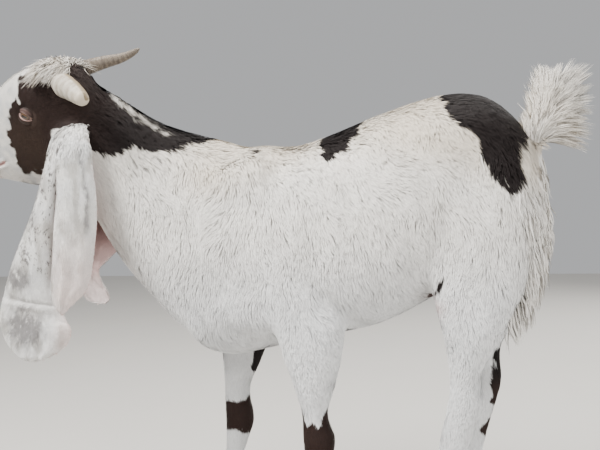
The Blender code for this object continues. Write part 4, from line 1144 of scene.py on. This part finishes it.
# coat
coatLook = {
    "share": 1.0,
    "sunk": 0.0012,
    "patch": 0.003,
    "clumpSize": 9,
    "seed": 4,
    "widthBase": 0.00085,
    "widthGain": 0.034,
    "widthMost": 0.0018,
    "softness": 0.7,
    "earLength": 0.0062,
    "earInside": 0.0045,
    "eyeClear": (0.0165, 0.0185),
    "swirl": (1.1, 0.8, 0.10),
    "roll": 0.10,
}
# piece: regions it covers, most tufts, segments
coatPieces = {
    "coatHead": (["head"], 36000, 2),
    "coatHeadBack": (["headBack"], 15000, 3),
    "coatNeckNear": (["neckNear"], 24000, 3),
    "coatNeckFar": (["neckFar"], 15000, 3),
    "coatBarrelNear": (["torsoNearHigh"], 27000, 3),
    "coatBellyNear": (["torsoNearLow"], 25000, 3),
    "coatBarrelFar": (["torsoFarHigh"], 20000, 3),
    "coatBellyFar": (["torsoFarLow"], 19000, 3),
    "coatRumpNear": (["rumpNear"], 26000, 3),
    "coatRumpFar": (["rumpFar"], 20000, 3),
    "coatForelegs": (["forelegNear", "forelegFar"], 36000, 2),
    "coatHindNear": (["hindlegNear"], 24000, 3),
    "coatHindFar": (["hindlegFar"], 20000, 3),
    "coatEars": (["ear"], 34000, 2),
}


def widthOf(length):
    return np.clip(coatLook["widthBase"] + coatLook["widthGain"] * length, 0.0010, coatLook["widthMost"])


def sampleArrays(mesh):
    mesh.calc_loop_triangles()
    triangles = mesh.loop_triangles
    uv = rowsOf(mesh.uv_layers[0].data, "uv", 2, np.float32)
    return rowsOf(triangles, "vertices", 3, np.int32), rowsOf(triangles, "loops", 3, np.int32), uv


def regionOf(middles, isEar):
    # nearest solid of each triangle
    names = [n for n in fleshNodes if n != "tail"]
    tree = KDTree(sum(len(nodes[n].data.polygons) for n in names))
    owner = []
    for n in names:
        for face in nodes[n].data.polygons:
            tree.insert(Vector(np.array(face.center) - shift), len(owner))
            owner.append(n)
    tree.balance()
    head = toHead(middles)
    labels = []
    for k, middle in enumerate(middles):
        if isEar[k]:
            labels.append("ear")
            continue
        name = owner[tree.find(middle)[1]]
        if name == "head":
            name = "head" if head[k, 0] > -0.035 else "headBack"
        else:
            name = name.split("_")[0] + ("Near" if middle[1] < 0 else "Far")
            if name.startswith("torso"):
                name += "High" if middle[2] > 0.545 else "Low"
        labels.append(name)
    return np.array(labels)


def ribbons(name, curve, across, width, tone, roots, hair, paint, facing):
    # one mesh of flat tapered tufts: curve is tufts x points x 3
    count, points = curve.shape[:2]
    steps = points - 1
    shape = np.interp(np.linspace(0, 1, points)[:-1], [0, 0.3, 0.65, 1.0], [0.7, 1.0, 0.8, 0.1])
    per = 2 * steps + 1
    place = np.empty((count, per, 3))
    half = (width[:, None] * shape[None, :] * 0.5)[:, :, None] * across[:, None, :]
    place[:, 0:2 * steps:2] = curve[:, :-1] - half
    place[:, 1:2 * steps:2] = curve[:, :-1] + half
    place[:, -1] = curve[:, -1]
    along = np.linspace(0, 1, points)
    vAlong = np.concatenate([np.repeat(along[:-1], 2), [1.0]])
    vAcross = np.concatenate([np.tile([-1.0, 1.0], steps), [0.0]])
    quads = np.array([[2 * k, 2 * k + 1, 2 * k + 3, 2 * k + 2] for k in range(steps - 1)])
    last = np.array([2 * steps - 2, 2 * steps - 1, 2 * steps])
    pattern = np.concatenate([quads.ravel(), last])
    loops = (pattern[None, :] + (np.arange(count) * per)[:, None]).ravel()
    starts = np.concatenate([np.arange(steps - 1) * 4, [4 * (steps - 1)]])
    loopStart = (starts[None, :] + (np.arange(count) * len(pattern))[:, None]).ravel()
    mesh = bpy.data.meshes.new(name)
    mesh.vertices.add(count * per)
    mesh.loops.add(len(loops))
    mesh.polygons.add(len(loopStart))
    mesh.vertices.foreach_set("co", (place + shift).astype(np.float32).ravel())
    mesh.loops.foreach_set("vertex_index", loops.astype(np.int32))
    mesh.polygons.foreach_set("loop_start", loopStart.astype(np.int32))
    mesh.update(calc_edges=True)
    mesh.shade_smooth()
    own = normalsOf(mesh)
    soft = unit(np.repeat(facing, per, 0) * coatLook["softness"] + own * (1 - coatLook["softness"]))
    mesh.normals_split_custom_set_from_vertices(soft)
    layer = mesh.uv_layers.new(name="OFBake")
    uv = roots[:, None, :] + np.stack([vAcross, vAlong * 2 - 1], 1)[None] * coatLook["patch"] * 0.5
    layer.data.foreach_set("uv", uv.reshape(-1, 2)[loops].astype(np.float32).ravel())
    keepTone(mesh, np.repeat(tone, per, 0))
    lines = np.empty((count, per, 3))
    lines[:, :, 0] = vAcross[None, :] * width[:, None] * 500
    lines[:, :, 1] = vAlong[None, :]
    lines[:, :, 2] = hair[:, None]
    keep(mesh, "hair", "FLOAT_VECTOR", "vector", lines)
    piece = addPiece(name, mesh, paint)
    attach(piece, "root")


def coatPaint():
    paint = Paint("coatPaint", 0.62, 0.12)
    line = paint.attribute("hair", "Vector")
    across = paint.split(line, 0)
    along = paint.split(line, 1)
    pick = paint.split(line, 2)
    strand = paint.noise(paint.join(across * 2.6, along * 0.9, pick * 37), 1.0, 2.0)
    tone = paint.attribute("tone")
    # painted shade: each tuft is darker toward its root; the other two factors are random tone per tuft and
    # per strand
    bright = paint.span(along, 0.0, 0.60, 0.88, 1.0) * paint.span(pick, 0.0, 1.0, 0.90, 1.05) \
        * paint.span(strand, 0.3, 0.7, 0.90, 1.05)
    paint.into("Base Color", paint.mix(1.0, tone, paint.join(bright, bright, bright), "MULTIPLY"))
    paint.bump(strand, 0.5, 0.0006)
    return paint.material


def liftedCurve(tree, roots, normals, ways, lengths, stands, rng, steps):
    # root, middle and tip of each tuft, over the skin, joined by a smooth arc
    count = len(roots)
    middle = np.empty((count, 3))
    tip = np.empty((count, 3))
    guesses = ((middle, roots + ways * (lengths * 0.5)[:, None]), (tip, roots + ways * lengths[:, None]))
    for (target, guess), low, high in zip(guesses, (0.50, 0.80), (0.75, 1.05)):
        raised = stands * rng.uniform(low, high, count)
        for k in range(count):
            place, normal, face, apart = tree.find_nearest(Vector(guess[k]))
            if apart > lengths[k] * 0.6:
                target[k] = guess[k] + normals[k] * raised[k]
            else:
                target[k] = np.array(place) + np.array(normal) * raised[k]
    start = roots - normals * coatLook["sunk"]
    t = np.linspace(0, 1, steps + 1)[None, :, None]
    ends = start[:, None] * (1 - t) * (1 - 2 * t) + tip[:, None] * t * (2 * t - 1)
    return ends + middle[:, None] * 4 * t * (1 - t)


def gathered(curve, roots, size, strength):
    # tips lean toward the nearest leading tuft, so that the coat breaks into locks
    count = len(roots)
    leaders = np.arange(0, count, size)
    tree = KDTree(len(leaders))
    for k in leaders:
        tree.insert(Vector(roots[k]), int(k))
    tree.balance()
    lead = np.array([tree.find(Vector(r))[1] for r in roots])
    t = np.linspace(0, 1, curve.shape[1])[None, :, None]
    away = curve[lead] - curve
    apart = np.linalg.norm(away[:, -1], axis=1)
    pull = strength[:, None, None] * (apart < 0.02)[:, None, None] * t ** 2
    return curve + away * pull


def growCoat():
    mesh = skin.data
    points = coordsOf(mesh)
    outward = normalsOf(mesh)
    corners, loops, uv = sampleArrays(mesh)
    isEarVertex = np.zeros(len(points), int)
    for before, after, sign in earSpans:
        isEarVertex[before:after] = sign
    a, b, c = (points[corners[:, k]] for k in range(3))
    area = np.linalg.norm(np.cross(b - a, c - a), axis=1) * 0.5
    middles = (a + b + c) / 3
    facing = unit(outward[corners].mean(1))
    earSign = isEarVertex[corners[:, 0]]
    regions = regionOf(middles, earSign != 0)
    length = coatAt(middles)[1]
    inner = (earSign != 0) & (facing[:, 1] * earSign < 0.0)
    length = np.where(earSign != 0, coatLook["earLength"], length)
    width = widthOf(length)
    cover = np.interp(length, [0.004, 0.010, 0.028], [2.6, 3.4, 5.2])
    density = cover / (0.6 * length * width)
    head = toHead(middles)
    density = density * (1 - bareness(head)) * np.where(inner, 0.25, 1.0)
    for spot in eyeSpots.values():
        eyeGap = np.linalg.norm((head - toHead(spot)) * [1.0, 1.0, 1.1], axis=1)
        density = density * ramp(eyeGap, *coatLook["eyeClear"])
    for look in horns.values():
        line = np.array([hornMiddle(look, k / 20) for k in range(21)])
        apart = np.linalg.norm(middles[:, None] - line[None], axis=2)
        radius = np.array([hornRadius(look, k / 20) for k in range(21)])[apart.argmin(1)]
        density = density * (apart.min(1) > radius + 0.0006)
    expected = area * density
    tree = BVHTree.FromPolygons([Vector(p) for p in points], corners.tolist())
    paint = coatPaint()
    total = 0
    for order, (name, (covered, most, steps)) in enumerate(coatPieces.items()):
        rng = np.random.default_rng(coatLook["seed"] + order)
        chance = np.where(np.isin(regions, covered), expected, 0.0)
        count = int(min(chance.sum(), most) * coatLook["share"])
        running = np.cumsum(chance)
        pick = np.minimum(np.searchsorted(running, rng.random(count) * running[-1]), len(running) - 1)
        r1 = np.sqrt(rng.random(count))[:, None]
        r2 = rng.random(count)[:, None]
        share = np.concatenate([1 - r1, r1 * (1 - r2), r1 * r2], 1)
        roots = (points[corners[pick]] * share[:, :, None]).sum(1)
        normals = unit((outward[corners[pick]] * share[:, :, None]).sum(1))
        rootUv = (uv[loops[pick]] * share[:, :, None]).sum(1)
        ways, lengths, stands = coatAt(roots)
        onEar = earSign[pick]
        if name == "coatEars":
            ways = np.tile([0.0, 0.0, -1.0], (count, 1))
            ways[:, 0] = ramp(-roots[:, 2], -0.48, -0.40) * 0.4 * np.sign(roots[:, 0] + 0.39)
            lengths = np.where(facing[pick][:, 1] * onEar < 0, coatLook["earInside"], coatLook["earLength"])
            stands = np.full(count, 0.0009)
            high = ramp(roots[:, 2], 0.640, 0.672) * (facing[pick][:, 1] * onEar > 0)
            lengths = lengths + 0.0070 * high
            stands = stands + 0.0022 * high
        broad, fine, spread = coatLook["swirl"]
        swirl = (cloudy(roots, 0.035, 4.0) - 0.5) * broad + (cloudy(roots, 0.012, 9.0) - 0.5) * fine
        swirl = swirl + rng.normal(0, spread, count)
        flat = unit(ways - normals * (ways * normals).sum(1, keepdims=True))
        side = np.cross(normals, flat)
        ways = flat * np.cos(swirl)[:, None] + side * np.sin(swirl)[:, None]
        lengths = lengths * rng.uniform(0.75, 1.2, count)
        widths = widthOf(lengths) * rng.uniform(0.8, 1.2, count)
        curve = liftedCurve(tree, roots, normals, ways, lengths, stands, rng, steps)
        curve = gathered(curve, roots, coatLook["clumpSize"], np.clip(lengths * 10, 0.05, 0.26))
        across = unit(np.cross(ways, normals))
        roll = rng.normal(0, coatLook["roll"], count)[:, None]
        across = across * np.cos(roll) + normals * np.sin(roll)
        tone = coatTone(roots + ways * (lengths * 0.55)[:, None])
        if name == "coatEars":
            for sign in (-1, 1):
                some = onEar == sign
                tone[some] = earTone(roots[some], normals[some], sign)
        ribbons(name, curve, across, widths, tone, rootUv, rng.random(count), paint, normals)
        total += count
        print(name, count, "tufts of", int(chance.sum()))
    return tree, paint, total


coatTree, coatMaterial, tuftTotal = growCoat()
print("coat:", tuftTotal, "tufts")

# long locks: tail plume, breech and poll
lockSteps = 7
lockShare = 1.0
plume = {"strands": 6400, "length": 0.072, "width": 0.0015, "seed": 31}
breech = {"strands": 3200, "length": 0.052, "width": 0.0023, "seed": 32}


def longLocks(name, roots, ways, drops, lengths, widths, tone, rng, wave, facing, groups=14, hold=0.6):
    # free locks: each leaves along its way and bends by its drop, with a wave across
    count = len(roots)
    t = np.linspace(0, 1, lockSteps + 1)
    across = unit(np.cross(ways, drops + rng.normal(0, 0.6, (count, 3))))
    path = roots[:, None] + ways[:, None] * (lengths[:, None] * t[None])[:, :, None]
    path = path + drops[:, None] * (lengths[:, None] * t[None] ** 2)[:, :, None]
    phase = rng.random(count) * 6.28
    sway = np.sin(t[None] * wave[:, None] * 6.28 + phase[:, None]) - np.sin(phase)[:, None]
    path = path + across[:, None] * (sway * lengths[:, None] * 0.05 * t[None])[:, :, None]
    path = gathered(path, roots + ways * (lengths * 0.4)[:, None], groups, np.full(count, hold))
    corners, loops, uv = sampleArrays(skin.data)
    faces = np.array([coatTree.find_nearest(Vector(root))[2] for root in roots])
    rootUv = uv[loops[faces]].mean(1)
    over = np.cross(across, ways)
    across = np.where((over * facing).sum(1, keepdims=True) < 0, -across, across)
    ribbons(name, path, across, widths, tone, rootUv, rng.random(count), coatMaterial, facing)


def makePlume():
    rng = np.random.default_rng(plume["seed"])
    count = int(plume["strands"] * lockShare)
    t = rng.random(count) ** 0.9
    line = np.array([blendRows(dockLine, k / 60 * (len(dockLine) - 1)) for k in range(61)])
    at = (0.28 + 0.72 * t) * 60
    row = line[at.astype(int)]
    turn = rng.random(count) * 2 * math.pi
    out = np.stack([np.cos(turn), np.sin(turn), 0.35 * np.cos(turn)], 1)
    roots = np.stack([row[:, 0], np.zeros(count), row[:, 1]], 1) + out * row[:, 2:3] * 0.85
    back = np.cos(turn)
    lean = 0.20 + 0.34 * back + 1.25 * (1 - t) ** 1.5 * np.maximum(0, back)
    rise = 1.0 - 0.95 * (1 - t) ** 2.5 * np.maximum(0, back)
    ways = unit(np.stack([lean, np.sin(turn) * (0.42 - 0.1 * t), rise], 1) + rng.normal(0, 0.08, (count, 3)))
    droop = -0.14 - 0.35 * (1 - t) * np.maximum(0, back)
    drops = np.stack([0.14 * back + 0.07, np.sin(turn) * 0.12, droop], 1)
    lengths = plume["length"] * rng.uniform(0.62, 1.06, count) * (0.66 + 0.34 * t)
    widths = plume["width"] * rng.uniform(0.7, 1.2, count)
    tone = mixed(np.tile(tones["white"], (count, 1)), tones["cream"], 0.10 + 0.4 * cloudy(roots, 0.02))
    base = ramp(-t, -0.25, -0.05) * ramp(cloudy(roots, 0.006), 0.6, 0.7)
    tone = mixed(tone, tones["brown"] * 3, base * 0.2)
    longLocks("coatTail", roots, ways, drops, lengths, widths, tone, rng, rng.uniform(0.6, 1.3, count),
              unit(out + np.array([0.0, 0.0, 0.6])))


def makeBreech():
    # long wavy hair down the back of the thighs
    rng = np.random.default_rng(breech["seed"])
    count = int(breech["strands"] * lockShare)
    roots = []
    normals = []
    while len(roots) < count:
        spot = (0.5, rng.uniform(-0.092, 0.092), rng.uniform(0.405, 0.645))
        place, normal, face, apart = coatTree.ray_cast(Vector(spot), Vector((-1.0, 0.0, 0.0)))
        if place is not None and place.x > 0.270:
            roots.append(place - normal * 0.001)
            normals.append(normal)
    roots = np.array(roots)
    normals = np.array(normals)
    ways = unit(np.array([0.10, 0.0, -1.0]) + normals * 0.36 + rng.normal(0, 0.10, (count, 3)))
    drops = np.array([-0.04, 0.0, -0.10]) - normals * 0.16
    lengths = breech["length"] * rng.uniform(0.6, 1.15, count)
    widths = breech["width"] * rng.uniform(0.7, 1.2, count)
    tone = mixed(coatTone(roots), tones["white"], 0.93)
    tone = mixed(tone, tones["cream"], 0.15 * cloudy(roots, 0.02))
    longLocks("coatBreech", roots, ways, drops, lengths, widths, tone, rng, rng.uniform(1.0, 2.0, count),
              normals)


poll = {"strands": 3600, "length": 0.027, "width": 0.0014, "seed": 12}


def makePoll():
    rng = np.random.default_rng(poll["seed"])
    count = int(poll["strands"] * lockShare)
    forward = rng.uniform(-0.092, -0.040, count)
    spots = np.stack([forward, rng.uniform(-0.026, 0.026, count), np.full(count, 0.2)], 1)
    start = fromHead(spots)
    roots = np.empty((count, 3))
    normals = np.empty((count, 3))
    for k in range(count):
        place, normal, face, apart = coatTree.ray_cast(Vector(start[k]), -crownWay)
        roots[k] = place if place else fromHead([[spots[k, 0], spots[k, 1], 0.05]])[0]
        normals[k] = normal if normal else crownWay
    sideOut = spots[:, 1] / 0.024
    ways = unit(headBasis[0] * 0.45 + headBasis[1] * (sideOut * 0.7 + 0.20)[:, None] + normals * 1.10
                + rng.normal(0, 0.30, (count, 3)))
    drops = headBasis[0] * 0.25 - headBasis[2] * 0.75 + headBasis[1] * (sideOut * 0.45)[:, None]
    drops = drops + rng.normal(0, 0.14, (count, 3))
    lengths = poll["length"] * rng.uniform(0.6, 1.1, count)
    widths = poll["width"] * rng.uniform(0.7, 1.2, count)
    tone = np.tile(tones["white"] * 0.80, (count, 1))
    tone = mixed(tone, tones["taupe"] * 0.9, 0.35 + 0.65 * cloudy(roots, 0.010))
    longLocks("coatPoll", roots - normals * 0.001, ways, drops, lengths, widths, tone, rng,
              rng.uniform(1.4, 2.6, count), normals, groups=13, hold=0.4)


makePlume()
makeBreech()
makePoll()
print("long locks are laid")

# eyes and lids
eyeLook = {
    "slitHigh": 20.0,
    "slitLow": 19.0,
    "slitWide": 62.0,
    "pupilWide": 0.34,
    "pupilHigh": 0.13,
    "lidSides": 72,
    "lidReach": 0.0205,
    "lidRosy": ((0.38, 0.25, 0.22), (0.17, 0.10, 0.095)),
    "lidDark": (0.095, 0.056, 0.050),
}


def eyeAxes(sign):
    tilt = math.radians(goat["slitTilt"])
    outward = sideWay * sign
    along = noseWay * math.cos(tilt) + crownWay * math.sin(tilt)
    rise = crownWay * math.cos(tilt) - noseWay * math.sin(tilt)
    return along, rise, outward


def eyePaint():
    paint = Paint("eyePaint", 0.15, 0.4, Coat_Weight=0.5, Coat_Roughness=0.03)
    gaze = paint.attribute("gaze", "Vector")
    x = paint.split(gaze, 0)
    y = paint.split(gaze, 1)
    reach = (x * x + y * y) ** 0.5
    angle = paint.node("ShaderNodeMath", {"operation": "ARCTAN2"}, {0: y, 1: x})
    fibres = paint.noise(paint.join(angle * 5, reach * 2, 0.0), 4.0, 5.0)
    iris = paint.mix(paint.span(fibres, 0.3, 0.7), (0.030, 0.015, 0.009), (0.115, 0.062, 0.030))
    iris = paint.mix(paint.span(reach, 0.50, 0.66), iris, (0.010, 0.006, 0.005))
    white = paint.mix(paint.noise(gaze, 9.0), (0.11, 0.065, 0.050), (0.22, 0.15, 0.125))
    colour = paint.mix(paint.span(reach, 0.645, 0.70), iris, white)
    wide = (x / eyeLook["pupilWide"]) ** 4.0 + (y / eyeLook["pupilHigh"]) ** 4.0
    colour = paint.mix(paint.span(wide, 0.8, 1.2), (0.004, 0.003, 0.003), colour)
    paint.into("Base Color", colour)
    return paint.material


def makeEye(side, sign, paint):
    along, rise, outward = eyeAxes(sign)
    bm = bmesh.new()
    bmesh.ops.create_uvsphere(bm, u_segments=64, v_segments=40, radius=goat["eyeRadius"])
    local = [v.co.copy() / goat["eyeRadius"] for v in bm.verts]
    middle = Vector(eyeSpots[sign])
    for vertex, spot in zip(bm.verts, local):
        bulge = 1.0 + 0.035 * max(0.0, (spot.z - 0.72) / 0.28)
        vertex.co = middle + (along * spot.x + rise * spot.y + outward * spot.z) * goat["eyeRadius"] * bulge
    bmesh.ops.recalc_face_normals(bm, faces=bm.faces)
    made = tuned(bm, "eye" + side.capitalize(), paint)
    keep(made.data, "gaze", "FLOAT_VECTOR", "vector", local)
    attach(made, "root")
    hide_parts("eye_" + side)


# angle from the eye's axis, in degrees past the slit's edge; radius in mm
lidRows = [(-3.0, 12.3), (-0.6, 12.7), (0.6, 13.3), (2.6, 14.1), (5.0, 14.5), (8.0, 14.2), (10.0, 13.9),
           (12.5, 14.5), (17.0, 15.1), (22.0, 15.1), (26.0, 14.8), (30.0, 15.2), (37.0, 15.7)]


def slitAngle(turn):
    # half opening of the half closed eye in each direction, degrees: long along the slit, upper lid lowered
    c = math.cos(turn)
    s = math.sin(turn)
    high = eyeLook["slitHigh"] if s > 0 else eyeLook["slitLow"]
    return 1.0 / math.sqrt((c / eyeLook["slitWide"]) ** 2 + (s / high) ** 2)


def lidWay(axes, turn, degrees):
    # direction from the eye's middle, so many degrees off its axis
    along, rise, outward = axes
    polar = math.radians(degrees)
    return outward * math.cos(polar) + (along * math.cos(turn) + rise * math.sin(turn)) * math.sin(polar)


def makeLids(side, sign, paint):
    axes = eyeAxes(sign)
    along, rise, outward = axes
    middle = Vector(eyeSpots[sign])
    rings = []
    for order, (past, radius) in enumerate(lidRows):
        ring = []
        for turn in around(eyeLook["lidSides"]):
            angle = slitAngle(turn) + past * (1.0 + 0.25 * math.sin(turn))
            angle = min(angle, 62 + order * 1.6)
            upper = max(0.0, math.sin(turn + 0.3))
            size = radius + (1.3 * upper * math.exp(-((past - 20) / 9) ** 2))
            ring.append(middle + lidWay(axes, turn, angle) * size * 0.001)
        rings.append(ring)
    last = [middle + lidWay(axes, turn, 104) * eyeLook["lidReach"] for turn in around(eyeLook["lidSides"])]
    for share in (0.30, 0.62, 1.0):
        blended = []
        for p, q in zip(rings[len(lidRows) - 1], last):
            place, normal = coatTree.find_nearest(p.lerp(q, share))[:2]
            sunk = 0.0002 - 0.0016 * share
            blended.append(p.lerp(place + normal * sunk, min(1.0, share * 1.4)))
        rings.append(blended)
    bm = bmesh.new()
    lofted(bm, rings, closeEnds=False)
    made = tuned(bm, "lids" + side.capitalize(), paint)
    points = coordsOf(made.data) - shift
    gap = points - np.array(middle)
    apart = np.linalg.norm(gap, axis=1)
    polar = np.degrees(np.arccos(np.clip(gap @ np.array(outward) / apart, -1, 1)))
    turn = np.arctan2(gap @ np.array(rise), gap @ np.array(along))
    slit = np.array([slitAngle(a) for a in turn])
    past = polar - slit
    pinkRim = ramp(-past, -7.0, -3.0) * (0.45 + 0.55 * ramp(-np.sin(turn), -0.2, 0.4))
    upperPink = ramp(np.sin(turn + 0.2), 0.2, 0.8) * ramp(-past, -34, -20) * 0.75
    base = coatTone(points)
    light, deep = (np.array(colour) for colour in eyeLook["lidRosy"])
    rosy = mixed(np.tile(light, (len(points), 1)), deep, cloudy(points, 0.004))
    tone = mixed(base, np.array(eyeLook["lidDark"]), upperPink)
    tone = mixed(tone, rosy, pinkRim)
    keepTone(made.data, tone)
    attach(made, "root")


eyeMaterial = eyePaint()
lidMaterial = skinPaint()
for side, sign in (("left", 1), ("right", -1)):
    makeEye(side, sign, eyeMaterial)
    makeLids(side, sign, lidMaterial)
print("eyes and lids are in")

for side, look in horns.items():
    makeHorn("horn" + side.capitalize(), side, look)
print("horns are on")

# hooves and dewclaws
hoofLook = {
    "sides": 36,
    "rings": [(0.0, 0.965, 0.0), (0.0012, 1.0, 0.0002), (0.006, 0.99, 0.0014), (0.012, 0.97, 0.003),
              (0.018, 0.94, 0.0048), (0.024, 0.90, 0.007), (0.029, 0.865, 0.009), (0.032, 0.85, 0.010),
              (0.0345, 0.74, 0.0115)],
}


def hoofPaint():
    paint = Paint("hoofPaint", 0.5, 0.4)
    spot = paint.place()
    x = paint.split(spot, 0)
    y = paint.split(spot, 1)
    z = paint.split(spot, 2)
    grain = paint.noise(paint.join(x * 420, y * 420, z * 50), 1.0, 4.0)
    bands = paint.noise(paint.join(x * 12, y * 12, z * 420), 1.0, 3.0)
    colour = paint.mix(paint.span(grain, 0.3, 0.7), (0.060, 0.046, 0.036), (0.165, 0.130, 0.100))
    colour = paint.mix(paint.span(z, 0.0, 0.012, 0.55, 0.0), colour, (0.24, 0.21, 0.17))
    colour = paint.mix(paint.span(z, 0.024, 0.032), colour, (0.20, 0.15, 0.12))
    paint.into("Base Color", colour)
    paint.bump(bands + grain * 0.6, 0.5, 0.0008)
    return paint.material


def makeHoof(node, paint):
    low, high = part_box(node)
    length = (high.x - low.x) * 0.5
    middle = (high.x + low.x) * 0.5 - shift[0]
    y = (low.y + high.y) * 0.5 - shift[1]
    half = (high.y - low.y) * 0.5
    inner = -1 if ("inner" in node) == (y > 0) else 1
    rings = []
    for height, grow, lean in hoofLook["rings"]:
        ring = []
        for turn in around(hoofLook["sides"]):
            c = math.cos(turn)
            w = math.sin(turn)
            squeeze = 1.0 if c > 0 else 1.0 - 0.30 * c * c
            flat = 0.80 if w * inner > 0 else 1.0
            reach = abs(c) ** 0.9 * (1 if c > 0 else -1)
            ring.append(Vector((middle + reach * (length - 0.0006) * grow + lean - 0.0002,
                                y + w * (half - 0.0002) * grow * squeeze * flat, height)))
        rings.append(ring)
    bm = bmesh.new()
    lofted(bm, rings)
    name = "".join(word.capitalize() for word in node.split("_"))
    made = tuned(bm, name[0].lower() + name[1:], paint)
    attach(made, "root")
    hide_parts(node)


def makeDewclaws(paint):
    bm = bmesh.new()
    for x, y in ((0.0560, -0.084), (-0.1400, 0.084), (0.2215, -0.084), (0.2477, 0.084)):
        for side in (-1, 1):
            made = bmesh.ops.create_uvsphere(bm, u_segments=20, v_segments=12, radius=1.0)["verts"]
            for vertex in made:
                spot = vertex.co
                drop = max(0.0, -spot.z)
                vertex.co = Vector((x + spot.x * 0.0052 + drop * 0.004, y + side * 0.0095 + spot.y * 0.0050,
                                    0.080 + spot.z * 0.0085))
    made = tuned(bm, "dewclaws", paint)
    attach(made, "root")


hoofMaterial = hoofPaint()
for node in nodes:
    if node.startswith("hoof_"):
        makeHoof(node, hoofMaterial)
makeDewclaws(hoofMaterial)
print("hooves are on")

setCoords(skin.data, coordsOf(skin.data) + shift)
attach(skin, "root")
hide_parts(*fleshNodes, *earNodes)
